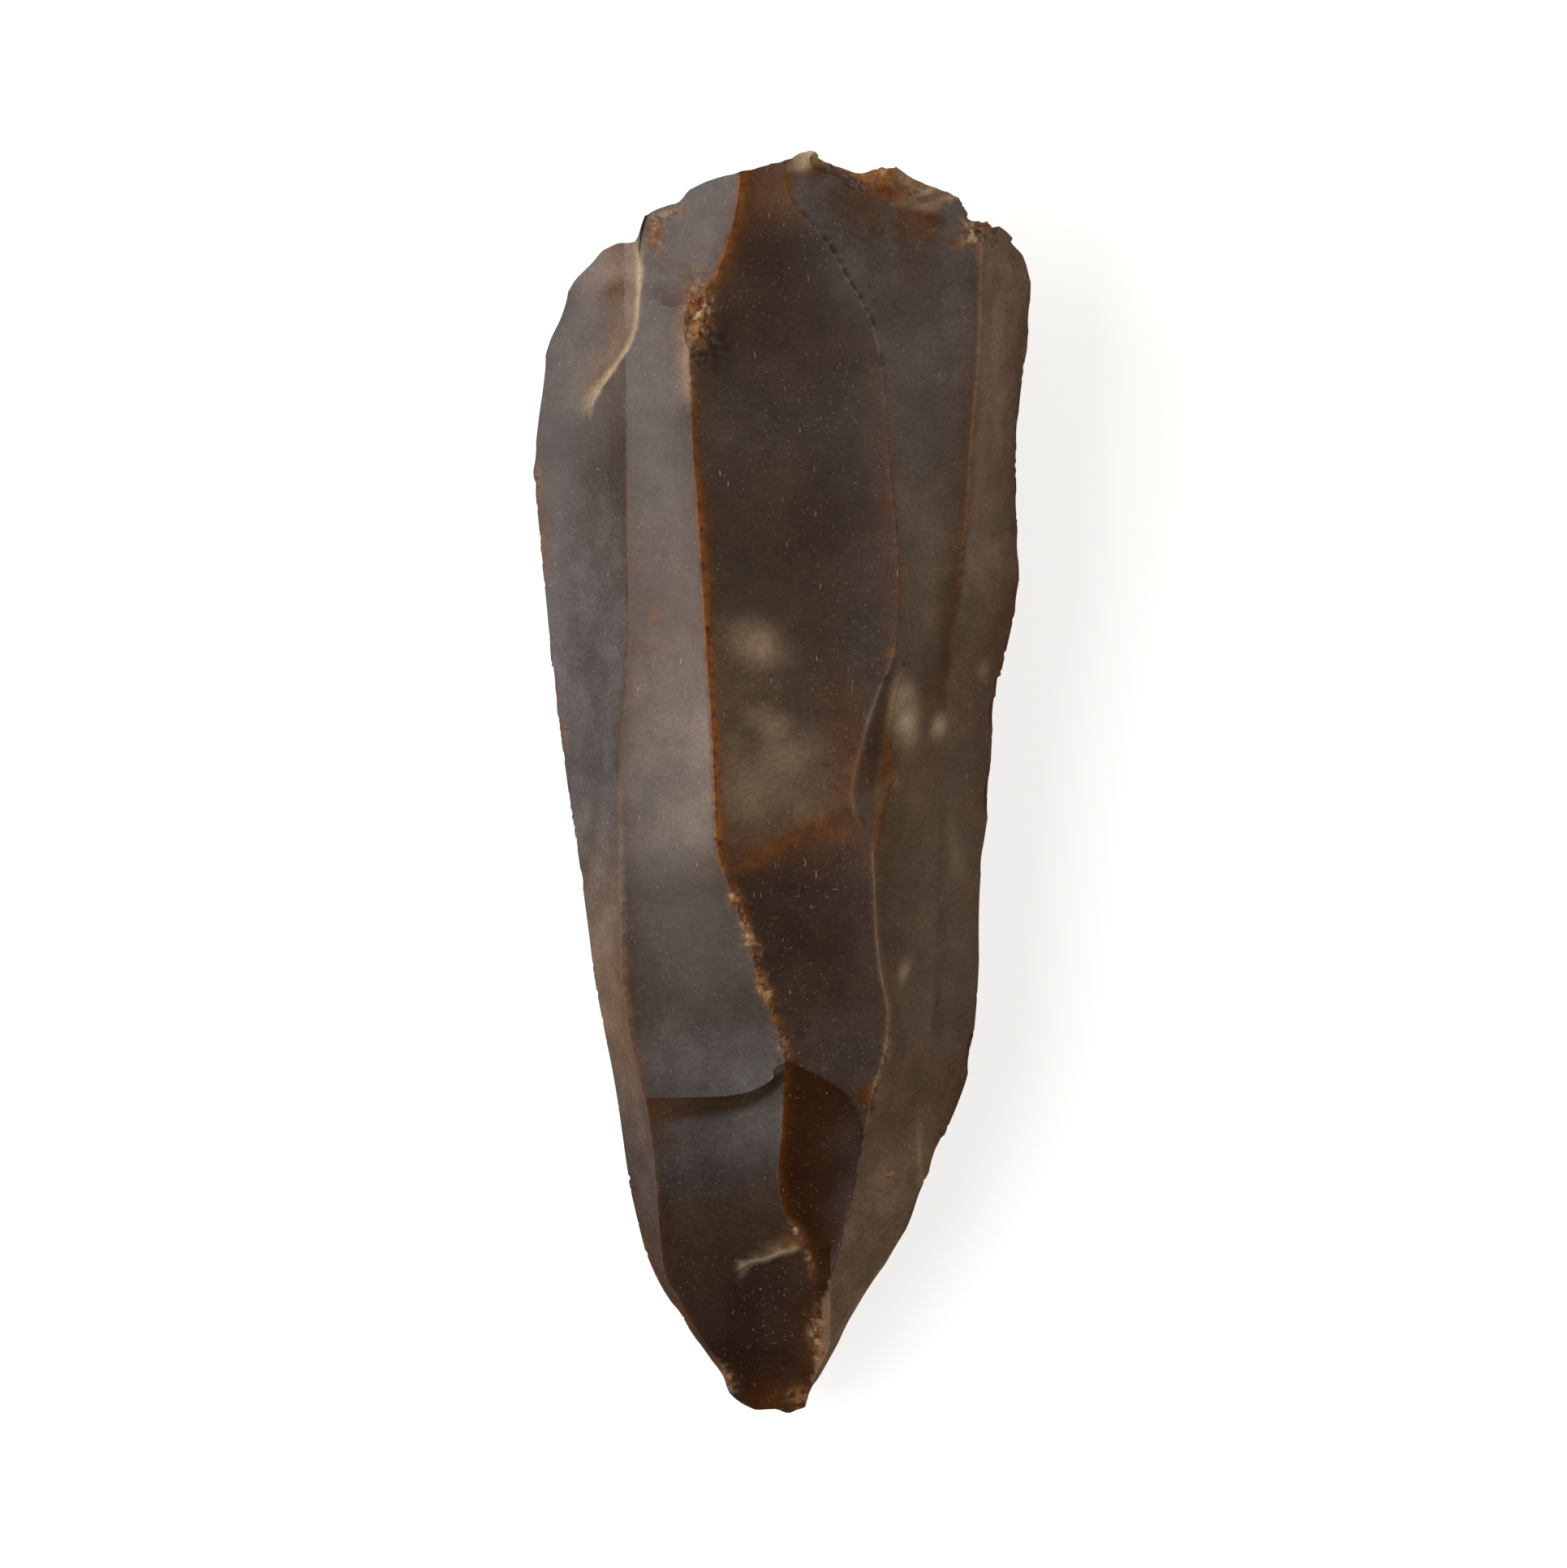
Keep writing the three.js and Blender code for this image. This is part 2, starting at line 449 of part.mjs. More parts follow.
// The far left scar beside it, let down by the same step so that the ridge between them runs straight on.
const besideHingeScar = endedScar(0, () => hingeArc(0), HINGE_RUN, (t) => (t - 0.04) / 0.96);
const besideHingeTool = () =>
  toolFrom(endedRows(LENGTH * 0.29, 12), [-0.1, 0.04, 0.4, 0.8, 1.2, 1.6], besideHingeScar, upToLid);

// The narrow leaf-shaped scar between the main ridge and the right ridge, where it runs out.
const leafArc = (t) => 0.2822 - 0.0353 * t - 0.0257 * t ** 6;
const leafScar = endedScar(2, leafArc, LEAF_RUN, (t) => 1 - Math.max(t, 0) ** LEAF_RISE);
const leafTool = () =>
  toolFrom(endedRows(LENGTH * 0.3, 11), steps(-0.12, 1.12, 10), leafScar, upToLid);

// The small scar on the upper left shoulder, stepped along its right side.
function shoulderTool() {
  const line = smoothLine(SHOULDER_LINE);
  const depthLine = smoothLine([
    [0.75, -0.12], [0.772, 0], [0.785, 0.06], [0.81, 0.35], [0.84, 0.78], [0.87, 1], [1.03, 1],
  ]);
  const distances = [-1.2, -0.4, 0, 0.25, 0.6, 1.1, 2.2, 4, 7, 11];
  const point = (s, distance) => {
    const x = placeX(line(s)[0]) - distance;
    const depth = SIDE_STEP * depthLine(s)[0];
    const before = (distance * SIDE_STEP) / SIDE_STEP_RUN;
    const drop = distance < 0 ? before : depth * dropPast(distance, 1, SIDE_STEP_RUN);
    return [x, placeY(s), faceHeight(x, placeY(s)) - drop];
  };
  return toolFrom(steps(0.762, 1.02, 16), distances, point, upToLid);
}

// The narrow facet that was split off the right ridge.
function splinterTool() {
  const left = smoothLine(SPLINTER_LEFT);
  const right = smoothLine(SPLINTER_RIGHT);
  const point = (s, t) => {
    const [x0, x1] = [placeX(left(s)[0]), placeX(right(s)[0])];
    const y = placeY(s);
    const [z0, z1] = [faceHeight(x0, y), faceHeight(x1, y)];
    const hollow = SPLINTER_HOLLOW * 4 * t * (1 - t);
    return [x0 + (x1 - x0) * t, y, z0 + (z1 - z0) * t - hollow];
  };
  return toolFrom(steps(0.448, 0.6, 14), [-0.3, -0.1, 0.1, 0.35, 0.65, 0.9, 1.1, 1.3], point, upToLid);
}

// The short scar struck from the tip, which broke off in a step in the floor of the hinged scar.
function tipScarTool() {
  const edge = (u) => 0.117 + 0.127 * (u - 0.41) - 2.6 * Math.max(0.44 - u, 0) ** 2;
  const distances = [-1.2, -0.4, 0, 0.3, 0.7, 1.4, ...steps(3, LENGTH * 0.16, 6)];
  const point = (distance, u) => {
    const s = edge(u) - distance / LENGTH;
    const floor = scarHeight(1, placeX(u), placeY(s)) - HINGE_DEPTH;
    const [from, to] = TIP_STEP_SHARES;
    const fade = Math.min(Math.max((u - from) / (to - from), -0.3), 1);
    const drop = distance < 0 ? distance : fade * dropPast(distance, TIP_STEP, TIP_STEP_RUN);
    return [placeX(u), placeY(s), floor - drop];
  };
  return toolFrom(distances, steps(0.33, 0.6, 9), point, upToLid);
}

// A shallow dish that a struck flake leaves, as [along, across, deep], set into a surface at a point.
function dishTool({ point, facing, along, turn = 0, size, lift, facets, rings }) {
  const [long, wide, deep] = size;
  const rim = DISH_RIM;
  const profile = steps(0, rim, rings + 1).map((r) => new THREE.Vector2(r, -deep * (1 - r * r)));
  profile.push(new THREE.Vector2(rim, lift), new THREE.Vector2(0, lift));
  const out = new THREE.Vector3(...facing).normalize();
  const across = new THREE.Vector3(...along).cross(out).normalize();
  const lengthways = new THREE.Vector3().crossVectors(across, out);
  const dish = new THREE.LatheGeometry(profile, facets).scale(wide, 1, long);
  dish.rotateY(THREE.MathUtils.degToRad(turn));
  dish.applyMatrix4(new THREE.Matrix4().makeBasis(across, out, lengthways).setPosition(...point));
  return turnedOut(dish);
}

// The way out of the stone at shares a and b of a surface.
function outwards(surface, a, b) {
  const reach = 0.01;
  const [p, q] = [surface(a - reach, b), surface(a, b - reach)].map((v) => new THREE.Vector3(...v));
  const here = new THREE.Vector3(...surface(a, b));
  const out = p.sub(here).cross(q.sub(here)).normalize();
  const middle = new THREE.Vector3(0, here.y * 0.9, THICKNESS / 2);
  return out.dot(here.sub(middle)) < 0 ? out.negate() : out;
}

function broadScar(surface, a, b, along, turn, size) {
  const facing = outwards(surface, a, b).toArray();
  const point = surface(a, b);
  return dishTool({ point, facing, along, turn, size, lift: BROAD_LIFT, facets: 20, rings: 2 });
}

const flankScar = ({ side, s, t, turn, size }) =>
  broadScar((a, b) => sidePoint(side, a, b), s, t, [0, 1, 0], turn, size);

const platformScar = ({ u, depth, turn, size }) =>
  broadScar((a, b) => platformPoint(a * THICKNESS, b), depth / THICKNESS, u, [0, 0, 1], turn, size);

function smallScar({ at: [s, u], facing, tilt, along, size }) {
  const surface = (a, b) => [placeX(b), placeY(a), faceHeight(placeX(b), placeY(a))];
  const point = surface(s, u);
  const lift = size[2] * 3 + 2;
  if (facing) return dishTool({ point, facing, along, size, lift, facets: 12, rings: 2 });
  const out = outwards(surface, s, u).add(new THREE.Vector3(...tilt, 0));
  return dishTool({ point, facing: out.toArray(), along, size, lift, facets: 20, rings: 2 });
}

// A repeatable stream of numbers from 0 to 1.
function stream(seed) {
  let state = seed;
  return () => {
    state = (state * 16807) % 2147483647;
    return state / 2147483647;
  };
}

function nibbles() {
  const next = stream(71);
  const [from, to] = NIBBLE_SPAN;
  return [[LEFT_EDGE, -1], [RIGHT_EDGE, 1]].flatMap(([edge, out]) => {
    const line = smoothLine(edge);
    return Array.from({ length: NIBBLES }, (_, i) => {
      const s = from + ((to - from) * (i + next())) / NIBBLES;
      const [u, h] = line(s);
      const scale = 0.6 + 0.7 * next();
      return dishTool({
        point: [placeX(u) + out * NIBBLE_OUT, placeY(s), placeZ(h)],
        facing: [out * (0.75 + 0.2 * next()), 0.3 * (next() - 0.5), 0.2 + 0.5 * next()],
        along: [0, 1, 0.2 * (next() - 0.5)],
        size: NIBBLE_SIZE.map((v) => v * scale),
        lift: NIBBLE_LIFT,
        facets: 10,
        rings: 1,
      });
    });
  });
}

function bladeCore() {
  const below = new THREE.BoxGeometry(WIDTH * 2, LENGTH * 2, THICKNESS);
  below.translate(0, 0, -THICKNESS / 2);
  const tools = [
    platformTool(),
    tipTool(),
    hingeTool(),
    besideHingeTool(),
    leafTool(),
    shoulderTool(),
    splinterTool(),
    tipScarTool(),
    ...FLANK_SCARS.map(flankScar),
    ...PLATFORM_SCARS.map(platformScar),
    ...SMALL_SCARS.map(smallScar),
    ...nibbles(),
    solidOf(below),
  ];
  return tools.reduce((stone, tool) => stone.subtract(tool), roughStone());
}

// Takes a solid back to three.js, with the middle of its box over the origin.
function meshOf(solid, name, look) {
  const { vertProperties, triVerts, numProp } = solid.getMesh();
  const points = [];
  for (let i = 0; i < vertProperties.length; i += numProp) points.push([...vertProperties.slice(i, i + 3)]);
  const geometry = geometryOf(points, [...triVerts]);
  geometry.computeBoundingBox();
  const centre = geometry.boundingBox.getCenter(new THREE.Vector3());
  geometry.translate(-centre.x, -centre.y, -geometry.boundingBox.min.z);
  geometry.computeVertexNormals();
  const mesh = new THREE.Mesh(geometry, new THREE.MeshStandardMaterial(look));
  mesh.name = name;
  return mesh;
}

const core = new THREE.Group();
core.add(meshOf(bladeCore(), "blade_core", FLINT));

export default core;
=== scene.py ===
"""A flint blade core lying on its back: fine scars and chips, staining, floor, lights and camera.

Sizes here are in millimetres and are turned to metres when an object is made.
A place on the stone is given by shares: s along it from the tip, u across it from the left edge,
and h up from the plane that it rests on.
"""

import math

import bpy
import numpy as np
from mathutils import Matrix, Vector


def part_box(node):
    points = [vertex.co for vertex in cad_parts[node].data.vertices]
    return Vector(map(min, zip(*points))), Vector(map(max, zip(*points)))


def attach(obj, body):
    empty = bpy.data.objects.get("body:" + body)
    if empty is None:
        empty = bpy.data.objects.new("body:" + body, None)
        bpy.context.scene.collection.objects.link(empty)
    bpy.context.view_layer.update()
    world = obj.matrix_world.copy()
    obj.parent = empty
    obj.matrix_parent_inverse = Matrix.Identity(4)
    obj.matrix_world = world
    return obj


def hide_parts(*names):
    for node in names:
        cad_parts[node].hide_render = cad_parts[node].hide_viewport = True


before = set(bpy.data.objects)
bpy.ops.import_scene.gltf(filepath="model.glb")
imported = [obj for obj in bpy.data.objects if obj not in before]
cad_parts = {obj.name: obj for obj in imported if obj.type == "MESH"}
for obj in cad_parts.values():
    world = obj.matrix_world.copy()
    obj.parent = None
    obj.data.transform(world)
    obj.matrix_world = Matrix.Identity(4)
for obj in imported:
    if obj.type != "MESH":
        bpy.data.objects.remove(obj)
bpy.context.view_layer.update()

NODE = "blade_core"
MM = 0.001

# The solid's nominal size; the mesh made here is set over the solid's own box at the end.
LENGTH = 120
WIDTH = 47.4
THICKNESS = 30

# The platform and the tip: how far they lean, and how far in the platform's ragged rim reaches.
PLATFORM_LEAN = 0.5
PLATFORM_RIM = 3.5
TIP_LEAN = 0.35

# Steps in which scars end: depth, and the distance over which they drop.
HINGE_DEPTH = 1.3
HINGE_RUN = 1.6
LEAF_RUN = 1.6
LEAF_RISE = 2  # the higher, the later the leaf scar's floor rises towards its right border
SIDE_STEP = 0.75
SIDE_STEP_RUN = 0.45
TIP_STEP = 0.55
TIP_STEP_RUN = 0.35
TIP_STEP_SHARES = (0.39, 0.46)

# Depth of the blade scars' hollows from left to right, and the width at which they are fully hollow.
SCAR_HOLLOW = [0.9, 0.55, 0.65, 0.45, 0.5]
SCAR_FULL_WIDTH = [6, 6, 14, 6, 6]
BACK_HOLLOW = 0.5
BACK_FULL_WIDTH = 6
SPLINTER_HOLLOW = 0.12

# The cross ridge in the middle scar: the share of the hollow that it fills, and its reach.
CROSS_RIDGE = 0.85
CROSS_RIDGE_RUN = 5

# Ripples and swells of the struck surfaces: height, and spacing or size.
RIPPLE = 0.03
RIPPLE_STEP = 7.5
SWELL = 0.05
SWELL_SIZE = 6.0
FULL_RELIEF_WIDTH = 6

# Lines that run along the stone, as rows of [s, u, h].
LEFT_EDGE = [
    [-0.03, 0.335, 0.24], [0.022, 0.391, 0.27], [0.061, 0.327, 0.31], [0.082, 0.298, 0.33],
    [0.099, 0.261, 0.34], [0.119, 0.238, 0.35], [0.157, 0.212, 0.37], [0.196, 0.191, 0.4],
    [0.273, 0.162, 0.43], [0.35, 0.126, 0.46], [0.427, 0.097, 0.49], [0.504, 0.072, 0.5],
    [0.581, 0.045, 0.52], [0.658, 0.024, 0.54], [0.696, 0.018, 0.55], [0.735, 0.008, 0.57],
    [0.773, 0.0, 0.59], [0.793, 0.004, 0.6], [0.812, 0.013, 0.61], [0.831, 0.019, 0.62],
    [0.85, 0.031, 0.64], [0.87, 0.054, 0.66], [0.886, 0.066, 0.67], [0.93, 0.078, 0.68],
    [1.03, 0.08, 0.68],
]
LEFT_RIDGE = [
    [-0.03, 0.352, 0.3], [0.022, 0.405, 0.335], [0.06, 0.345, 0.375], [0.093, 0.296, 0.41],
    [0.112, 0.27, 0.44], [0.138, 0.26, 0.5], [0.17, 0.254, 0.56], [0.208, 0.246, 0.62],
    [0.249, 0.231, 0.68], [0.282, 0.212, 0.715], [0.304, 0.199, 0.735], [0.358, 0.184, 0.77],
    [0.439, 0.181, 0.8], [0.51, 0.178, 0.82], [0.588, 0.192, 0.85], [0.628, 0.196, 0.857],
    [0.709, 0.193, 0.852], [0.773, 0.192, 0.848], [0.831, 0.191, 0.838], [0.93, 0.188, 0.79],
    [1.03, 0.188, 0.78],
]
MAIN_RIDGE = [
    [-0.03, 0.54, 0.25], [0.006, 0.548, 0.315], [0.025, 0.556, 0.355], [0.052, 0.568, 0.415],
    [0.066, 0.574, 0.445], [0.082, 0.568, 0.48], [0.101, 0.56, 0.52], [0.128, 0.555, 0.57],
    [0.144, 0.539, 0.6], [0.157, 0.516, 0.622], [0.173, 0.5, 0.648], [0.196, 0.496, 0.685],
    [0.228, 0.503, 0.73], [0.26, 0.508, 0.77], [0.282, 0.509, 0.792], [0.301, 0.5, 0.81],
    [0.325, 0.479, 0.832], [0.345, 0.459, 0.848], [0.377, 0.438, 0.87], [0.407, 0.41, 0.888],
    [0.431, 0.388, 0.901], [0.452, 0.373, 0.911], [0.504, 0.368, 0.937], [0.547, 0.363, 0.955],
    [0.601, 0.353, 0.973], [0.655, 0.345, 0.986], [0.734, 0.332, 0.997], [0.761, 0.326, 1.0],
    [0.815, 0.322, 0.998], [0.838, 0.318, 0.995], [0.863, 0.319, 0.99], [0.88, 0.328, 0.984],
    [0.896, 0.363, 0.98], [0.923, 0.391, 0.972], [0.95, 0.41, 0.963], [0.973, 0.418, 0.955],
    [1.03, 0.424, 0.94],
]
RIGHT_RIDGE = [
    [-0.03, 0.549, 0.245], [0.006, 0.556, 0.31], [0.025, 0.563, 0.35], [0.052, 0.575, 0.41],
    [0.066, 0.581, 0.44], [0.083, 0.58, 0.475], [0.099, 0.592, 0.506], [0.126, 0.613, 0.558],
    [0.155, 0.63, 0.608], [0.182, 0.647, 0.65], [0.206, 0.657, 0.686], [0.228, 0.669, 0.716],
    [0.255, 0.685, 0.75], [0.274, 0.699, 0.77], [0.293, 0.712, 0.788], [0.318, 0.716, 0.81],
    [0.352, 0.701, 0.837], [0.39, 0.691, 0.864], [0.425, 0.688, 0.887], [0.458, 0.684, 0.905],
    [0.49, 0.688, 0.922], [0.53, 0.7, 0.938], [0.565, 0.715, 0.95], [0.59, 0.725, 0.957],
    [0.613, 0.73, 0.962], [0.642, 0.735, 0.967], [0.664, 0.735, 0.97], [0.693, 0.732, 0.972],
    [0.731, 0.722, 0.974], [0.774, 0.712, 0.975], [0.807, 0.708, 0.974], [0.838, 0.699, 0.973],
    [0.861, 0.685, 0.972], [0.883, 0.657, 0.971], [0.901, 0.63, 0.97], [0.928, 0.589, 0.966],
    [0.95, 0.54, 0.962], [0.966, 0.513, 0.957], [0.99, 0.506, 0.95], [1.03, 0.505, 0.94],
]
# The far right ridge, as [s, u, rise in millimetres over a straight line between its neighbours].
FAR_RIDGE = [
    [-0.03, 0.556, 0], [0.022, 0.573, 0], [0.041, 0.592, -0.05], [0.067, 0.604, -0.1],
    [0.093, 0.626, -0.15], [0.119, 0.656, -0.2], [0.151, 0.688, -0.28], [0.183, 0.717, -0.35],
    [0.221, 0.756, -0.45], [0.266, 0.789, -0.5], [0.318, 0.805, -0.55], [0.382, 0.81, -0.6],
    [0.446, 0.812, -0.6], [0.51, 0.821, -0.45], [0.568, 0.828, 0.15], [0.613, 0.838, 1.0],
    [0.648, 0.854, 2.0], [0.684, 0.864, 3.0], [0.722, 0.875, 3.8], [0.761, 0.881, 4.3],
    [0.788, 0.886, 4.4], [0.828, 0.896, 4.4], [0.883, 0.902, 4.2], [0.934, 0.903, 4.0],
    [1.03, 0.903, 3.9],
]
RIGHT_EDGE = [
    [-0.03, 0.57, 0.235], [0.022, 0.594, 0.3], [0.041, 0.632, 0.312], [0.061, 0.653, 0.325],
    [0.08, 0.672, 0.34], [0.119, 0.716, 0.38], [0.157, 0.761, 0.41], [0.176, 0.777, 0.425],
    [0.196, 0.8, 0.44], [0.228, 0.834, 0.46], [0.253, 0.86, 0.475], [0.273, 0.876, 0.485],
    [0.311, 0.889, 0.495], [0.35, 0.896, 0.505], [0.407, 0.901, 0.52], [0.446, 0.906, 0.53],
    [0.484, 0.917, 0.54], [0.542, 0.924, 0.56], [0.581, 0.938, 0.57], [0.619, 0.959, 0.58],
    [0.639, 0.97, 0.585], [0.661, 0.977, 0.59], [0.696, 0.974, 0.6], [0.754, 0.971, 0.615],
    [0.793, 0.976, 0.625], [0.831, 0.987, 0.64], [0.85, 0.995, 0.65], [0.87, 0.997, 0.66],
    [0.895, 1.0, 0.67], [0.93, 1.0, 0.68], [1.03, 1.0, 0.68],
]
# Borders of the narrow back that the stone lies on.
BASE_RIGHT = [
    [-0.03, 0.51, 0.2], [0.0, 0.52, 0.175], [0.05, 0.545, 0.12], [0.1, 0.575, 0.07],
    [0.15, 0.605, 0.03], [0.2, 0.63, 0.0], [0.3, 0.67, -0.03], [0.5, 0.7, -0.04],
    [0.7, 0.72, -0.045], [0.9, 0.7, -0.04], [1.03, 0.69, -0.03],
]
BASE_LEFT = [
    [-0.03, 0.44, 0.2], [0.0, 0.45, 0.175], [0.05, 0.44, 0.12], [0.1, 0.425, 0.07],
    [0.15, 0.41, 0.03], [0.2, 0.39, 0.0], [0.3, 0.35, -0.03], [0.5, 0.3, -0.04],
    [0.7, 0.27, -0.045], [0.9, 0.29, -0.04], [1.03, 0.3, -0.03],
]
# Borders of two small scars, as rows of [s, u].
SHOULDER_LINE = [
    [0.75, 0.14], [0.779, 0.118], [0.793, 0.119], [0.815, 0.144], [0.834, 0.178], [0.85, 0.202],
    [0.874, 0.215], [0.91, 0.2185], [0.928, 0.209], [1.03, 0.205],
]
SPLINTER_LEFT = [
    [0.42, 0.678], [0.466, 0.664], [0.477, 0.648], [0.493, 0.643], [0.512, 0.651],
    [0.533, 0.664], [0.553, 0.678], [0.574, 0.698], [0.593, 0.719], [0.63, 0.745],
]
SPLINTER_RIGHT = [
    [0.42, 0.68], [0.458, 0.695], [0.479, 0.704], [0.499, 0.716], [0.533, 0.719], [0.555, 0.722],
    [0.576, 0.732], [0.598, 0.753], [0.63, 0.757],
]
# Outlines of the two ends, as rows of [u, s].
PLATFORM_LINE = [
    [-0.08, 0.8], [0.045, 0.875], [0.073, 0.89], [0.09, 0.902], [0.123, 0.915], [0.15, 0.926],
    [0.176, 0.929], [0.209, 0.928], [0.217, 0.934], [0.228, 0.948], [0.274, 0.957],
    [0.298, 0.96], [0.322, 0.971], [0.371, 0.98], [0.444, 0.985], [0.493, 0.99], [0.526, 0.995],
    [0.542, 0.998], [0.561, 1.0], [0.578, 0.998], [0.594, 0.993], [0.623, 0.987],
    [0.664, 0.983], [0.696, 0.987], [0.737, 0.988], [0.75, 0.983], [0.786, 0.978],
    [0.81, 0.976], [0.834, 0.969], [0.859, 0.962], [0.872, 0.95], [0.907, 0.946],
    [0.932, 0.941], [0.956, 0.934], [0.977, 0.923], [0.992, 0.908], [1.0, 0.895],
    [1.02, 0.87], [1.08, 0.8],
]
TIP_LINE = [
    [0.2, 0.12], [0.36, 0.04], [0.391, 0.022], [0.4, 0.0155], [0.425, 0.008], [0.452, 0.0035],
    [0.486, 0.0035], [0.512, 0.0], [0.534, 0.0035], [0.553, 0.0075], [0.558, 0.019],
    [0.574, 0.028], [0.62, 0.06], [0.8, 0.16],
]
CORNERS = [
    LEFT_EDGE, LEFT_RIDGE, MAIN_RIDGE, RIGHT_RIDGE, FAR_RIDGE, RIGHT_EDGE, BASE_RIGHT, BASE_LEFT,
]
FAR_LEFT, LEFT, MIDDLE, RIGHT, FAR_RIGHT, RIGHT_FLANK, BACK, LEFT_FLANK = range(len(CORNERS))
PLATFORM_ARCH = {"top": 0.998, "middle": 0.558, "drop": 0.438}

# Fineness: stations along the stone, and facets across each side of a section.
STATIONS = 300
STATION_SPAN = (-0.028, 1.028)
FACETS_ACROSS = [24, 18, 48, 20, 14, 20, 12, 20]
LID = THICKNESS * 1.25
FAR_OUT = LENGTH * 0.75

# Fineness of the cutters, as [rows, columns].
PLATFORM_GRID = (40, 170)
TIP_GRID = (50, 80)
SHOULDER_GRID = (90, 34)
SPLINTER_GRID = (60, 16)
TIP_SCAR_GRID = (40, 40)
ARC_ROWS = 56

# Dished scars: the cutter's reach past the rim, height of its lid, and (facets, rings) of its mesh.
DISH_RIM = 1.3
BROAD_LIFT = 9
NIBBLE_LIFT = 2.5
CHIP_LIFT = 1.6
BROAD_MESH = (72, 26)
EDGE_MESH = (48, 16)
SMALL_MESH = (30, 9)
NIBBLE_MESH = (18, 6)
CHIP_MESH = (12, 4)

# Broad flake scars: side, s, share across, turn in degrees, [half length, half width, depth].
FLANK_SCARS = [
    (LEFT_FLANK, 0.83, 0.43, 28, [14.5, 11.8, 1.7]),
    (LEFT_FLANK, 0.64, 0.4, -20, [14.0, 11.4, 1.3]),
    (LEFT_FLANK, 0.45, 0.43, 16, [13.5, 10.2, 1.6]),
    (LEFT_FLANK, 0.27, 0.46, -14, [12.5, 8.0, 1.1]),
    (LEFT_FLANK, 0.12, 0.5, -10, [8.5, 5.4, 0.7]),
    (RIGHT_FLANK, 0.85, 0.57, -24, [13.5, 11.0, 1.5]),
    (RIGHT_FLANK, 0.68, 0.6, 18, [13.5, 11.2, 1.6]),
    (RIGHT_FLANK, 0.48, 0.58, -16, [14.5, 9.8, 1.3]),
    (RIGHT_FLANK, 0.29, 0.56, 12, [13.0, 8.0, 1.3]),
    (RIGHT_FLANK, 0.13, 0.5, 8, [7.5, 4.2, 0.6]),
    (BACK, 0.11, 0.5, 0, [9.5, 5.2, 0.5]),
]
# On the platform: u, depth under its edge, turn, size.
PLATFORM_SCARS = [
    (0.34, 11.5, 12, [12.4, 11.5, 1.3]),
    (0.74, 11.5, -16, [12.2, 11.0, 1.5]),
    (0.1, 8, 20, [7.5, 6.0, 0.7]),
    (0.55, 23, 80, [9.0, 11.0, 1.0]),
]
# The shallow scar under the platform's edge: [s, u], tilt away from straight out, way it runs, size.
EDGE_SCAR = ([0.936, 0.322], [-0.05, 0.05, 0], [0.35, 1, 0], [5.8, 4.0, 0.4])
# Small breaks: [s, u], way they face, way they run, size.
SMALL_SCARS = [
    ([0.941, 0.246], [-0.5, 0.25, 0.82], [0, 1, 0], [1.6, 0.8, 0.4]),
    ([0.982, 0.654], [0.12, 0.55, 0.82], [1, -0.2, 0], [3.3, 1.5, 0.55]),
    ([0.967, 0.79], [0.25, 0.42, 0.87], [1, -0.35, 0], [3.7, 1.8, 0.6]),
    ([0.938, 0.9], [0.4, 0.4, 0.82], [1, -0.2, 0], [2.7, 1.2, 0.45]),
    ([0.912, 0.968], [0.72, 0.3, 0.6], [0.3, 1, 0], [1.9, 1.0, 0.3]),
    ([0.874, 0.328], [-0.28, -0.02, 0.96], [0.2, 1, 0], [2.7, 1.5, 0.6]),
    ([0.068, 0.574], [0.12, -0.42, 0.9], [0.1, 1, 0], [2.0, 1.0, 0.45]),
    ([0.05, 0.588], [0.4, -0.45, 0.8], [0.5, 1, 0], [1.3, 0.7, 0.35]),
    ([0.203, 0.806], [0.85, -0.2, 0.45], [-0.3, 1, 0], [2.1, 1.0, 0.35]),
    ([0.488, 0.915], [0.88, 0, 0.45], [0, 1, 0], [2.2, 0.9, 0.3]),
    ([0.285, 0.876], [0.88, -0.1, 0.45], [-0.2, 1, 0], [1.8, 0.8, 0.3]),
]

# Nibbles along the side edges: how many on each, size, how far out they lie, and their span.
NIBBLES = 10
NIBBLE_SIZE = (1.6, 0.8, 0.2)
NIBBLE_OUT = 0.1
NIBBLE_SPAN = (0.42, 0.9)


def place_x(u):
    return (u - 0.5) * WIDTH


def place_y(s):
    return (s - 0.5) * LENGTH


def place_z(h):
    return h * THICKNESS


def share_u(x):
    return x / WIDTH + 0.5


def share_s(y):
    return y / LENGTH + 0.5


def smooth_line(rows):
    """A smooth line through rows of [key, value, ...] that never swings past its own points."""
    rows = np.array(rows, float)
    keys, values = rows[:, 0], rows[:, 1:]
    spans = np.diff(keys)
    slopes = np.diff(values, axis=0) / spans[:, None]
    tangents = np.zeros_like(values)
    tangents[0], tangents[-1] = slopes[0], slopes[-1]
    before, after = slopes[:-1], slopes[1:]
    agree = before * after > 0
    tangents[1:-1] = np.where(agree, 2 * before * after / np.where(agree, before + after, 1), 0)

    def at(key):
        key = np.asarray(key, float)
        i = np.clip(np.searchsorted(keys, key, side="right") - 1, 0, len(keys) - 2)
        span = spans[i][..., None]
        t = np.clip((key - keys[i]) / spans[i], 0, 1)[..., None]
        rise = values[i + 1] - values[i]
        bend = (1 - t) * tangents[i] * span - t * tangents[i + 1] * span + (2 * t - 1) * rise
        return np.moveaxis(values[i] + t * rise + t * (1 - t) * bend, -1, 0)

    return at


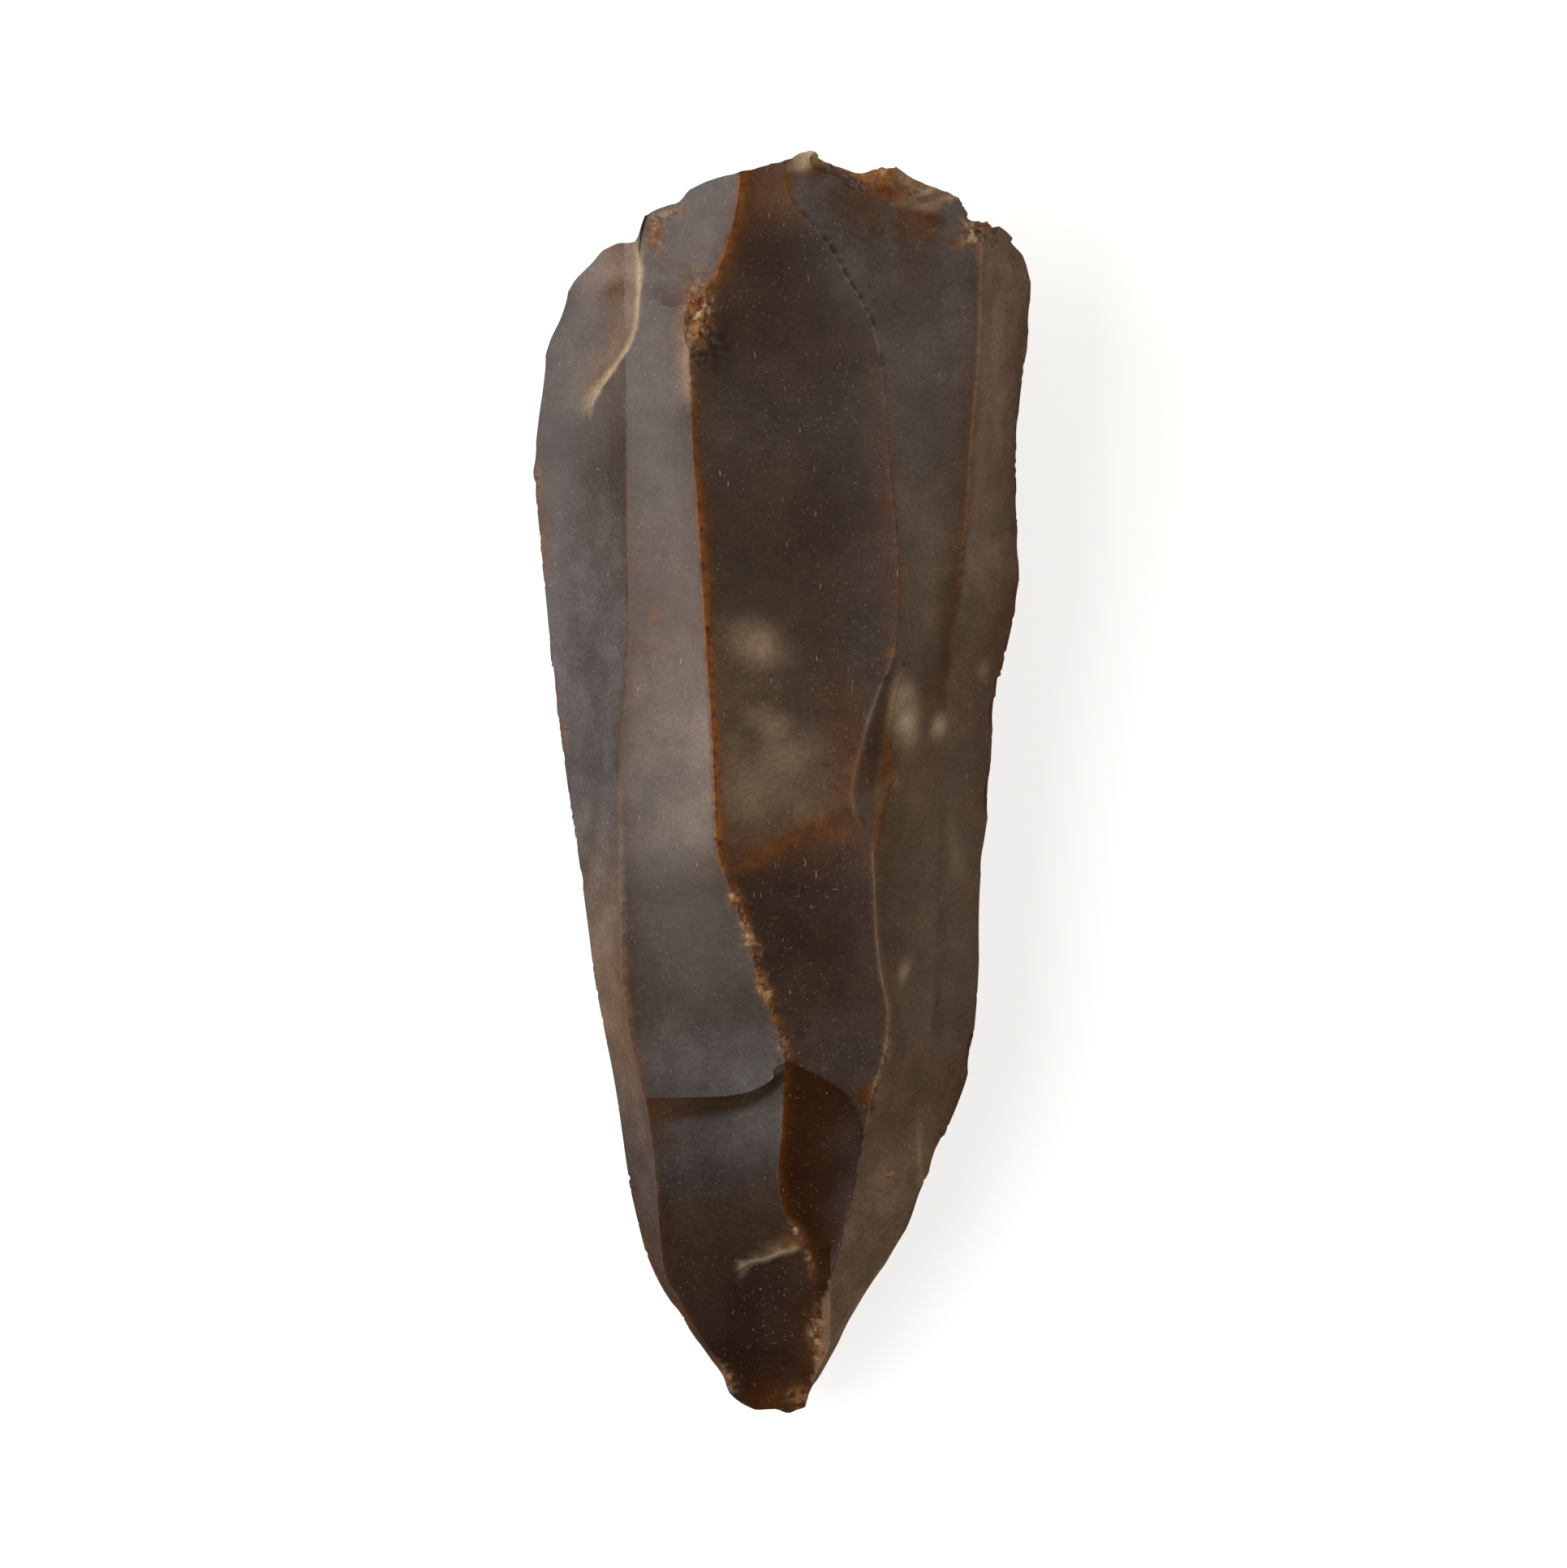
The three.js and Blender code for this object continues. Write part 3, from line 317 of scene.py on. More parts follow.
def hash_grid(i, j, k, seed):
    """A number from 0 to 1 for each whole lattice point."""
    n = (i * 374761393 + j * 668265263 + k * 2147483647 + seed * 974711) & 0xFFFFFFFF
    n = ((n ^ (n >> 13)) * 1274126177) & 0xFFFFFFFF
    return ((n ^ (n >> 16)) & 0xFFFF) / 65535


def noise(x, y, z, size, seed=0):
    """Smooth noise from -1 to 1 with features of about the given size."""
    p = [np.asarray(v, float) / size for v in np.broadcast_arrays(x, y, z)]
    cell = [np.floor(v).astype(np.int64) for v in p]
    f = [v - c for v, c in zip(p, cell)]
    f = [v * v * (3 - 2 * v) for v in f]
    total = 0
    for a in (0, 1):
        for b in (0, 1):
            for c in (0, 1):
                weight = 1
                for share, corner in zip(f, (a, b, c)):
                    weight = weight * (share if corner else 1 - share)
                total = total + weight * hash_grid(cell[0] + a, cell[1] + b, cell[2] + c, seed)
    return total * 2 - 1


corner_lines = [smooth_line(rows) for rows in CORNERS]
rise_of_far_ridge = corner_lines[FAR_RIGHT]


def far_ridge(s):
    u, rise = rise_of_far_ridge(s)
    u0, h0 = corner_lines[RIGHT](s)
    u1, h1 = corner_lines[RIGHT_FLANK](s)
    return np.array([u, h0 + (h1 - h0) * (u - u0) / (u1 - u0) + rise / THICKNESS])


corner_lines[FAR_RIGHT] = far_ridge
left_edge, left_ridge, main_ridge, right_ridge = corner_lines[:FAR_RIGHT]
right_edge = corner_lines[RIGHT_FLANK]
shoulder_line = smooth_line(SHOULDER_LINE)
splinter_left = smooth_line(SPLINTER_LEFT)
splinter_right = smooth_line(SPLINTER_RIGHT)
platform_line = smooth_line(PLATFORM_LINE)


def cross_ridge(t):
    """Where the cross ridge runs over the middle scar, as a share s."""
    return 0.437 + 0.052 * t


def hollow_at(side, s, t, width):
    if side >= RIGHT_FLANK:
        return BACK_HOLLOW * np.minimum(1, width / BACK_FULL_WIDTH)
    full = SCAR_HOLLOW[side] * np.minimum(1, width / SCAR_FULL_WIDTH[side]) ** 2
    if side != MIDDLE:
        return full
    away = np.abs(s - cross_ridge(t)) * LENGTH
    return full * (1 - CROSS_RIDGE * np.exp(-away / CROSS_RIDGE_RUN))


def relief(side, s, t, x):
    """The faint ripples and swells of a struck surface, which die out at its ridges."""
    inside = np.clip(4 * t * (1 - t), 0, 1)
    bow = (2 * t - 1) ** 2 * 1.6
    wave = np.sin(2 * math.pi * ((1 - s) * LENGTH + bow) / RIPPLE_STEP + side * 1.7)
    swell = noise(x, place_y(s), side * 9.0, SWELL_SIZE, seed=side)
    return inside * (RIPPLE * wave + SWELL * swell)


def side_point(side, s, t):
    """The x and z at share t across one side of the section at s; hollows go into the stone."""
    u0, h0 = corner_lines[side](s)
    u1, h1 = corner_lines[(side + 1) % len(CORNERS)](s)
    inwards = -1 if side < RIGHT_FLANK else 1
    width = np.abs(u1 - u0) * WIDTH
    hollow = hollow_at(side, s, t, width) * 4 * t * (1 - t)
    x = place_x(u0 + (u1 - u0) * t)
    z = place_z(h0 + (h1 - h0) * t) + inwards * hollow
    return x, z + relief(side, s, t, x) * np.minimum(1, width / FULL_RELIEF_WIDTH)


def scar_height(side, x, y):
    """Height of one blade scar over plan points, carried on past its own ridges."""
    s = share_s(y)
    u0 = corner_lines[side](s)[0]
    u1 = corner_lines[side + 1](s)[0]
    return side_point(side, s, (share_u(x) - u0) / (u1 - u0))[1]


def side_at(x, y):
    """Number of the blade scar over each plan point."""
    u, s = share_u(x), share_s(y)
    return sum((u > corner_lines[side](s)[0]).astype(int) for side in range(LEFT, RIGHT_FLANK))


def face_height(x, y):
    """Height of the face with the blade scars over plan points."""
    x, y = np.broadcast_arrays(np.asarray(x, float), np.asarray(y, float))
    which = side_at(x, y)
    heights = np.array([scar_height(side, x, y) for side in range(RIGHT_FLANK)])
    return np.take_along_axis(heights, which[None], 0)[0]


def mesh_object(name, points, triangles):
    """An object from points and triangles, turned so that its faces look out."""
    corners = points[triangles]
    volume = np.einsum("ij,ij->i", corners[:, 0], np.cross(corners[:, 1], corners[:, 2])).sum()
    if volume < 0:
        triangles = triangles[:, ::-1]
    mesh = bpy.data.meshes.new(name)
    mesh.vertices.add(len(points))
    mesh.vertices.foreach_set("co", points.astype(np.float32).ravel())
    mesh.loops.add(triangles.size)
    mesh.loops.foreach_set("vertex_index", triangles.astype(np.int32).ravel())
    mesh.polygons.add(len(triangles))
    mesh.polygons.foreach_set("loop_start", np.arange(0, triangles.size, 3, dtype=np.int32))
    mesh.update(calc_edges=True)
    obj = bpy.data.objects.new(name, mesh)
    bpy.context.scene.collection.objects.link(obj)
    return obj


def band_triangles(rows, around):
    """Triangles between neighbouring closed loops."""
    row, k = np.meshgrid(np.arange(rows - 1), np.arange(around), indexing="ij")
    a = (row * around + k).ravel()
    b = (row * around + (k + 1) % around).ravel()
    return np.concatenate([np.stack([a, b, b + around], 1), np.stack([a, b + around, a + around], 1)])


def closed_triangles(rows, around):
    """The bands, and a fan at each end round the two points that come after the loops."""
    k = np.arange(around)
    last = (rows - 1) * around
    first_middle = np.full(around, rows * around)
    fans = [
        np.stack([first_middle, (k + 1) % around, k], 1),
        np.stack([first_middle + 1, last + k, last + (k + 1) % around], 1),
    ]
    return np.concatenate([band_triangles(rows, around), *fans])


def rough_stone():
    """The stone as its long scars and its back leave it."""
    s = np.linspace(*STATION_SPAN, STATIONS + 1)[:, None]
    columns = []
    for side, facets in enumerate(FACETS_ACROSS):
        t = np.arange(facets)[None] / facets
        x, z = side_point(side, s, t)
        columns.append(np.stack(np.broadcast_arrays(x, place_y(s), z), -1))
    loops = np.concatenate(columns, 1)
    rows, around = loops.shape[:2]
    middles = loops[[0, -1]].mean(1)
    points = np.concatenate([loops.reshape(-1, 3), middles])
    return mesh_object("flint", points, closed_triangles(rows, around))


def tool_from(name, front, back):
    """A cutting tool between a grid of points on the surface that it leaves and a grid behind it."""
    rows, across = front.shape[:2]
    loops = np.concatenate([front, back[:, ::-1]], 1)
    around = across * 2
    k = np.arange(across - 1)
    ends = []
    for first, flip in ((0, False), ((rows - 1) * around, True)):
        a, b = first + k, first + k + 1
        c, d = first + around - 2 - k, first + around - 1 - k
        for face in (np.stack([a, c, b], 1), np.stack([a, d, c], 1)):
            ends.append(face[:, ::-1] if flip else face)
    triangles = np.concatenate([band_triangles(rows, around), *ends])
    return mesh_object(name, loops.reshape(-1, 3), triangles)


def with_lid(x, y, z):
    """A surface grid and the flat lid above it."""
    front = np.stack(np.broadcast_arrays(x, y, z), -1)
    back = front.copy()
    back[..., 2] = LID
    return front, back


def drop_past(distance, depth, run):
    """Drop below the old surface past a scar's edge; before the edge the tool stays above it."""
    return np.where(distance < 0, distance * depth / run, depth * (1 - np.exp(-np.abs(distance) / run)))


def rows_past(length, count, near=(-2, -0.8, 0)):
    """Distances past a scar's edge: close together at first, then further apart."""
    return np.concatenate([near, length * np.linspace(0, 1, count)[1:] ** 1.5])


def platform_arch(u):
    """The platform's smooth outline deeper down, as a share s."""
    return PLATFORM_ARCH["top"] - PLATFORM_ARCH["drop"] * (u - PLATFORM_ARCH["middle"]) ** 2


def platform_point(depth, u, ragged_by=0.0):
    """Points of the platform at a depth under its edge, which is ragged near the face."""
    s = platform_line(u)[0] + ragged_by / LENGTH
    x = place_x(u)
    ragged = np.exp(-np.maximum(depth, 0) / PLATFORM_RIM)
    y = place_y(platform_arch(u) + (s - platform_arch(u)) * ragged) - depth * PLATFORM_LEAN
    return np.stack(np.broadcast_arrays(x, y, face_height(x, place_y(s)) - depth), -1)


def platform_tool():
    rows, columns = PLATFORM_GRID
    below = np.linspace(0, 1, rows)[1:] ** 1.4 * (THICKNESS + 3)
    depth = np.concatenate([[-8, -1, 0], below])[:, None]
    u = np.linspace(PLATFORM_LINE[0][0], PLATFORM_LINE[-1][0], columns)[None]
    x = place_x(u)
    fine = 0.10 * noise(x, 0, 0, 0.9, seed=3) + 0.14 * noise(x, 0, 0, 2.3, seed=4)
    front = platform_point(depth, u, fine)
    front[..., 1] += 0.12 * noise(x, depth, 0, 2.5, seed=5) * (depth > 0.5)
    back = front.copy()
    back[..., 1] = FAR_OUT
    return tool_from("platform_tool", front, back)


def tip_tool():
    line = smooth_line(TIP_LINE)
    middle = place_z(0.25)
    tall = THICKNESS * 0.45
    rows, columns = TIP_GRID
    z = np.linspace(middle - tall, middle + tall, rows)[:, None]
    u = np.linspace(TIP_LINE[0][0], TIP_LINE[-1][0], columns)[None]
    rough = 0.16 * noise(place_x(u), z, 0, 1.1, seed=6)
    y = place_y(line(u)[0]) + np.abs(z - middle) * TIP_LEAN + rough
    front = np.stack(np.broadcast_arrays(place_x(u), y, z), -1)
    back = front.copy()
    back[..., 1] = -FAR_OUT
    return tool_from("tip_tool", front, back)


def hinge_arc(t):
    """Where the hinged scar ends at share t across it, as a share s."""
    return 0.2526 + 0.001 * t + 0.024 * t**6


def leaf_arc(t):
    """Where the leaf-shaped scar ends at share t across it, as a share s."""
    return 0.2822 - 0.0353 * t - 0.0257 * t**6


def ended_tool(name, side, arc, run, share, length, t):
    """The tool of a scar that ends at an arc across one side of the section and runs to the tip."""
    distance = rows_past(length, ARC_ROWS)[:, None]
    t = t[None]
    s = arc(np.clip(t, 0, 1)) - distance / LENGTH
    u0 = corner_lines[side](s)[0]
    u1 = corner_lines[side + 1](s)[0]
    x = place_x(u0 + (u1 - u0) * t)
    drop = drop_past(distance, HINGE_DEPTH, run)
    z = scar_height(side, x, place_y(s)) - np.where(drop > 0, drop * share(t), drop)
    return tool_from(name, *with_lid(x, place_y(s), z))


def lower_tools():
    """The hinged scar, the far left scar let down beside it, and the leaf-shaped scar."""
    long = LENGTH * 0.29
    hinge = ended_tool(
        "hinge_tool", LEFT, hinge_arc, HINGE_RUN, lambda t: 1, long, np.linspace(-0.3, 1.12, 60)
    )
    lowered = ended_tool(
        "beside_tool", FAR_LEFT, lambda t: hinge_arc(0 * t), HINGE_RUN, lambda t: (t - 0.04) / 0.96,
        long, np.concatenate([[-0.1, 0.04], np.linspace(0.1, 1.6, 26)]),
    )
    leaf = ended_tool(
        "leaf_tool", MIDDLE, leaf_arc, LEAF_RUN, lambda t: 1 - np.maximum(t, 0) ** LEAF_RISE,
        LENGTH * 0.3, np.linspace(-0.12, 1.12, 50),
    )
    return [hinge, lowered, leaf]


def shoulder_tool():
    """The small scar on the upper left shoulder, stepped along its right side."""
    depth_line = smooth_line([
        [0.75, -0.12], [0.772, 0], [0.785, 0.06], [0.81, 0.35], [0.84, 0.78], [0.87, 1], [1.03, 1],
    ])
    rows, columns = SHOULDER_GRID
    distance = rows_past(11, columns, near=(-1.2, -0.4, 0))[None]
    s = np.linspace(0.762, 1.02, rows)[:, None]
    x = place_x(shoulder_line(s)[0]) - distance
    past = depth_line(s)[0] * SIDE_STEP * drop_past(distance, 1, SIDE_STEP_RUN)
    drop = np.where(distance < 0, distance * SIDE_STEP / SIDE_STEP_RUN, past)
    return tool_from("shoulder_tool", *with_lid(x, place_y(s), face_height(x, place_y(s)) - drop))


def splinter_tool():
    """The narrow facet that was split off the right ridge."""
    rows, columns = SPLINTER_GRID
    s = np.linspace(0.448, 0.6, rows)[:, None]
    t = np.linspace(-0.3, 1.3, columns)[None]
    x0 = place_x(splinter_left(s)[0])
    x1 = place_x(splinter_right(s)[0])
    y = place_y(s)
    z0, z1 = face_height(x0, y), face_height(x1, y)
    z = z0 + (z1 - z0) * t - SPLINTER_HOLLOW * 4 * t * (1 - t)
    return tool_from("splinter_tool", *with_lid(x0 + (x1 - x0) * t, y, z))


def tip_edge(u):
    """Where the short scar from the tip ends, as a share s."""
    edge = 0.117 + 0.127 * (u - 0.41) - 2.6 * np.maximum(0.44 - u, 0) ** 2
    return edge + 0.0016 * noise(place_x(u), 0, 0, 1.3, seed=8)


def tip_scar_tool():
    """The short scar struck from the tip, which broke off in a step in the hinged scar's floor."""
    rows, columns = TIP_SCAR_GRID
    distance = rows_past(LENGTH * 0.16, rows, near=(-1.2, -0.4, 0))[:, None]
    u = np.linspace(0.33, 0.6, columns)[None]
    y = place_y(tip_edge(u) - distance / LENGTH)
    floor = scar_height(LEFT, place_x(u), y) - HINGE_DEPTH
    low, high = TIP_STEP_SHARES
    fade = np.clip((u - low) / (high - low), -0.3, 1)
    drop = np.where(distance < 0, distance, fade * drop_past(distance, TIP_STEP, TIP_STEP_RUN))
    return tool_from("tip_scar_tool", *with_lid(place_x(u) + 0 * y, y, floor - drop))


def unit(vector):
    vector = np.asarray(vector, float)
    return vector / np.linalg.norm(vector)


def dish(point, facing, along, size, lift, facets, rings, turn=0.0, rough=0.0, seed=0):
    """Points, triangles and reach of a shallow dish that a struck flake leaves."""
    long, wide, deep = size
    out = unit(facing)
    across = unit(np.cross(along, out))
    lengthways = np.cross(across, out)
    radius = np.linspace(0, DISH_RIM, rings + 2)[1:]
    angle = np.arange(facets) * 2 * math.pi / facets
    r, a = np.meshgrid(radius, angle, indexing="ij")
    height = -deep * (1 - r**2)
    r = np.concatenate([r, r[-1:]])
    a = np.concatenate([a, a[-1:]])
    height = np.concatenate([height, np.full((1, facets), float(lift))])
    turned = math.radians(turn)
    flat_x, flat_z = wide * r * np.sin(a), long * r * np.cos(a)
    local_x = flat_x * math.cos(turned) + flat_z * math.sin(turned)
    local_z = flat_z * math.cos(turned) - flat_x * math.sin(turned)
    if rough:
        grain = max(0.25, min(wide, long) * 0.45)
        bumps = noise(local_x + seed * 7.1, local_z - seed * 3.3, seed, grain, seed=11)
        bumps = bumps + 0.5 * noise(local_x - seed, local_z + seed * 5.0, seed, grain / 2, seed=12)
        height[:-1] += (rough * bumps)[:-1]
        swing = 1 + 0.16 * noise(np.sin(a) * 1.3, np.cos(a) * 1.3, seed * 1.9, 1.0, seed=13)
        local_x, local_z = local_x * swing, local_z * swing
    ring_points = (
        local_x[..., None] * across + height[..., None] * out + local_z[..., None] * lengthways
    ).reshape(-1, 3)
    centre = np.array([out * -deep, out * lift])
    points = np.concatenate([ring_points, centre]) + np.asarray(point, float)
    reach = 1.2 * math.hypot(max(long, wide) * DISH_RIM, lift)
    return points, closed_triangles(len(radius) + 1, facets), reach


def outwards(surface, a, b):
    """The way out of the stone at shares a and b of a surface."""
    reach = 0.01
    here = surface(a, b)
    out = unit(np.cross(surface(a - reach, b) - here, surface(a, b - reach) - here))
    middle = np.array([0, here[1] * 0.9, THICKNESS / 2])
    return -out if out @ (here - middle) < 0 else out


def broad_scar(surface, a, b, along, turn, size):
    facing = outwards(surface, a, b)
    return dish(surface(a, b), facing, along, size, BROAD_LIFT, *BROAD_MESH, turn=turn)


def flank_scar(side, s, t, turn, size):
    def surface(a, b):
        x, z = side_point(side, np.asarray(a, float), np.asarray(b, float))
        return np.array([float(x), float(place_y(a)), float(z)])

    return broad_scar(surface, s, t, [0, 1, 0], turn, size)


def platform_scar(u, depth, turn, size):
    def surface(a, b):
        return platform_point(np.asarray(a * THICKNESS, float), np.asarray(b, float))

    return broad_scar(surface, depth / THICKNESS, u, [0, 0, 1], turn, size)


def face_point(s, u):
    x, y = place_x(u), place_y(s)
    return np.array([x, y, float(face_height(x, y))])


def small_lift(size):
    return size[2] * 3 + 2


def edge_scar():
    at, tilt, along, size = EDGE_SCAR
    facing = outwards(face_point, *at) + np.array(tilt)
    return dish(face_point(*at), facing, along, size, small_lift(size), *EDGE_MESH)


def small_scar(at, facing, along, size):
    lift = small_lift(size)
    return dish(face_point(*at), facing, along, size, lift, *SMALL_MESH, rough=0.05, seed=at[0])


def stream(seed):
    """The repeatable numbers that place the nibbles, as in the solid."""
    state = seed
    while True:
        state = (state * 16807) % 2147483647
        yield state / 2147483647


def nibbles():
    numbers = stream(71)
    first, last = NIBBLE_SPAN
    made = []
    for line, out in ((left_edge, -1), (right_edge, 1)):
        for i in range(NIBBLES):
            s = first + (last - first) * (i + next(numbers)) / NIBBLES
            u, h = line(s)
            scale = 0.6 + 0.7 * next(numbers)
            point = [place_x(u) + out * NIBBLE_OUT, place_y(s), place_z(h)]
            sideways = out * (0.75 + 0.2 * next(numbers))
            facing = [sideways, 0.3 * (next(numbers) - 0.5), 0.2 + 0.5 * next(numbers)]
            along = [0, 1, 0.2 * (next(numbers) - 0.5)]
            size = [v * scale for v in NIBBLE_SIZE]
            made.append(dish(point, facing, along, size, NIBBLE_LIFT, *NIBBLE_MESH, rough=0.02, seed=i))
    return made


UP, UP_LEFT, UP_RIGHT = (0, 0, 1), (-0.8, 0, 0.55), (0.8, 0, 0.55)
# Tiny chips along a line: line, span, how many, size range, way they face, how far out they lie.
LINE_CHIPS = [
    (left_edge, (0.45, 0.9), 55, (0.15, 0.4), UP_LEFT, 0),
    (left_edge, (0.05, 0.45), 16, (0.12, 0.28), UP_LEFT, 0),
    (right_edge, (0.52, 0.93), 30, (0.15, 0.35), UP_RIGHT, 0),
    (right_edge, (0.05, 0.52), 14, (0.12, 0.26), UP_RIGHT, 0),
    (main_ridge, (0.275, 0.43), 34, (0.18, 0.5), UP, 0.08),
    (main_ridge, (0.43, 0.9), 16, (0.12, 0.28), UP, 0.06),
    (main_ridge, (0.02, 0.27), 16, (0.15, 0.45), UP, 0.06),
    (right_ridge, (0.27, 0.95), 16, (0.12, 0.26), UP, 0.06),
]
# On the platform's edge: span, how many, size range, roughness, how far under the edge they reach.
EDGE_CHIPS = [
    ((0.03, 0.6), 34, (0.15, 0.4), 0.05, 0),
    ((0.58, 0.98), 26, (0.2, 0.6), 0.08, 1),
]
# In patches: middle [s, u], reach in s and u, how many, size range, roughness, way they face.
CHIP_PATCHES = [
    ((0.869, 0.334), (0.02, 0.028), 16, (0.25, 0.7), 0.14, (-0.25, 0, 1)),
    ((0.932, 0.251), (0.011, 0.014), 9, (0.25, 0.6), 0.14, (-0.3, 0.3, 1)),
    ((0.976, 0.665), (0.008, 0.045), 14, (0.3, 0.7), 0.1, (0.1, 0.5, 1)),
    ((0.934, 0.9), (0.01, 0.035), 12, (0.3, 0.6), 0.1, (0.3, 0.4, 1)),
    ((0.045, 0.585), (0.012, 0.014), 8, (0.3, 0.7), 0.12, (0.4, -0.4, 1)),
    ((0.014, 0.535), (0.012, 0.024), 12, (0.3, 0.7), 0.12, (0.1, -0.5, 1)),
    ((0.008, 0.44), (0.01, 0.03), 8, (0.2, 0.5), 0.12, (-0.2, -0.5, 1)),
]
LINE_CHIP_ROUGHNESS = 0.06
PATCH_CHIP_DEPTH = 0.4
rng = np.random.default_rng(7)


def chip_on(point, facing, sizes, rough, depth_share=0.3):
    size = rng.uniform(*sizes)
    stretch = rng.uniform(0.8, 1.7)
    out = unit(np.asarray(facing, float) + rng.normal(0, 0.22, 3))
    along = unit(rng.normal(0, 1, 3))
    seed = int(rng.integers(0, 1000))
    shape = [size * stretch, size, size * depth_share]
    return dish(point, out, along, shape, CHIP_LIFT, *CHIP_MESH, rough=rough * size, seed=seed)


def line_chips(line, span, count, sizes, facing, off):
    made = []
    for s in rng.uniform(*span, count):
        u, h = line(s)
        point = np.array([place_x(u), place_y(s), place_z(h)]) + unit(facing) * off
        made.append(chip_on(point, facing, sizes, LINE_CHIP_ROUGHNESS))
    return made


def edge_chips(span, count, sizes, rough, below):
    made = []
    for u in rng.uniform(*span, count):
        s = float(platform_line(u)[0])
        point = face_point(s, u) - np.array([0, 0.5, 1]) * below * rng.uniform(0, 1)
        made.append(chip_on(point, [(u - 0.55) * 0.8, 0.75, 0.55], sizes, rough))
    return made


def patch_chips(middle, reach, count, sizes, rough, facing):
    made = []
    for _ in range(count):
        s, u = (m + r * rng.uniform(-1, 1) for m, r in zip(middle, reach))
        point = face_point(s, u) + np.array([0, 0, 0.1])
        made.append(chip_on(point, facing, sizes, rough, PATCH_CHIP_DEPTH))
    return made


def all_chips():
    kinds = ((line_chips, LINE_CHIPS), (edge_chips, EDGE_CHIPS), (patch_chips, CHIP_PATCHES))
    return [chip for chips, rows in kinds for row in rows for chip in chips(*row)]


def batches(dishes):
    """Sorts dishes into groups in which none touches another."""
    groups = []
    for points, triangles, reach in dishes:
        centre = points.mean(0)
        for group in groups:
            if all(np.linalg.norm(centre - c) > reach + r for _, _, r, c in group):
                group.append((points, triangles, reach, centre))
                break
        else:
            groups.append([(points, triangles, reach, centre)])
    return groups


def tools_of(dishes, name):
    """One cutting object for each group of dishes that keep clear of each other."""
    made = []
    for number, group in enumerate(batches(dishes)):
        firsts = np.cumsum([0] + [len(points) for points, *_ in group[:-1]])
        points = np.concatenate([points for points, *_ in group])
        triangles = np.concatenate([g[1] + first for g, first in zip(group, firsts)])
        made.append(mesh_object(f"{name}_{number}", points, triangles))
    return made


def box_below():
    """The cutter that leaves the narrow flat which the stone rests on."""
    x, y, z = np.meshgrid([-WIDTH, WIDTH], [-LENGTH, LENGTH], [-THICKNESS, 0], indexing="ij")
    points = np.stack([x.ravel(), y.ravel(), z.ravel()], 1).astype(float)
    triangles = np.array([
        [0, 1, 3], [0, 3, 2], [4, 6, 7], [4, 7, 5], [0, 4, 5], [0, 5, 1],
        [2, 3, 7], [2, 7, 6], [0, 2, 6], [0, 6, 4], [1, 5, 7], [1, 7, 3],
    ])
    return mesh_object("below_tool", points, triangles)


def carved_stone():
    """Cuts every tool from the rough stone, and gives back its points and triangles."""
    stone = rough_stone()
    tools = [
        platform_tool(),
        tip_tool(),
        *lower_tools(),
        shoulder_tool(),
        splinter_tool(),
        tip_scar_tool(),
        *tools_of([flank_scar(*scar) for scar in FLANK_SCARS], "flank_tool"),
        *tools_of([platform_scar(*scar) for scar in PLATFORM_SCARS], "platform_scar_tool"),
        *tools_of([edge_scar(), *[small_scar(*scar) for scar in SMALL_SCARS]], "small_tool"),
        *tools_of(nibbles(), "nibble_tool"),
        *tools_of(all_chips(), "chip_tool"),
        box_below(),
    ]
    for tool in tools:
        cut = stone.modifiers.new(tool.name, "BOOLEAN")
        cut.operation = "DIFFERENCE"
        cut.solver = "MANIFOLD"
        cut.object = tool
    stone.modifiers.new("triangles", "TRIANGULATE")
    bpy.context.view_layer.update()
    carved = stone.evaluated_get(bpy.context.evaluated_depsgraph_get()).to_mesh()
    points = np.zeros(len(carved.vertices) * 3, np.float32)
    carved.vertices.foreach_get("co", points)
    triangles = np.zeros(len(carved.loops), np.int32)
    carved.loops.foreach_get("vertex_index", triangles)
    for obj in [stone, *tools]:
        bpy.data.objects.remove(obj)
    return points.reshape(-1, 3).astype(float), triangles.reshape(-1, 3)


# The flint's colours, as linear red, green and blue: dark brown, some with a painted grey sheen.
SMOKE = (0.066, 0.045, 0.037)
# Also the painted grey sheen over the hinged scar's hollow.
BLUE_SMOKE_AND_SHEEN = (0.072, 0.059, 0.054)
PALE_SMOKE = (0.103, 0.069, 0.048)
BROWN_SMOKE = (0.070, 0.040, 0.022)
UMBER = (0.044, 0.028, 0.020)
DARK = (0.033, 0.018, 0.010)
DARKER = (0.027, 0.013, 0.007)
DARKEST = (0.021, 0.0085, 0.0035)
# Painted sheen of the hinged scar where it dies out.
FADING_SHEEN_GREY = (0.036, 0.027, 0.025)
LEAF_BROWN = (0.025, 0.0075, 0.001)
OLIVE = (0.090, 0.050, 0.021)
HORN = (0.125, 0.076, 0.046)
LIGHT_HORN = (0.157, 0.097, 0.057)
GREY_HORN = (0.168, 0.113, 0.078)
CLAY = (0.070, 0.031, 0.014)
# Painted shade under the hinged scar's step.
SHADE_BAND_BROWN = (0.073, 0.035, 0.018)
# What lies on it or shows through it.
AMBER = (0.056, 0.0165, 0.0005)
RUST = (0.180, 0.053, 0.001)
DEEP_RUST = (0.074, 0.016, 0.0005)
GOLD = (0.270, 0.115, 0.035)
TAN = (0.215, 0.130, 0.075)
CREAM = (0.165, 0.112, 0.068)
# Also the colour of the painted highlights on ridges and step walls.
CHALK_AND_HIGHLIGHT = (0.400, 0.290, 0.180)
FLECK = (0.340, 0.285, 0.220)
SOOT = (0.010, 0.004, 0.001)

SHADE_BAND_WIDTH = 1.3  # of the painted shade band under the hinge
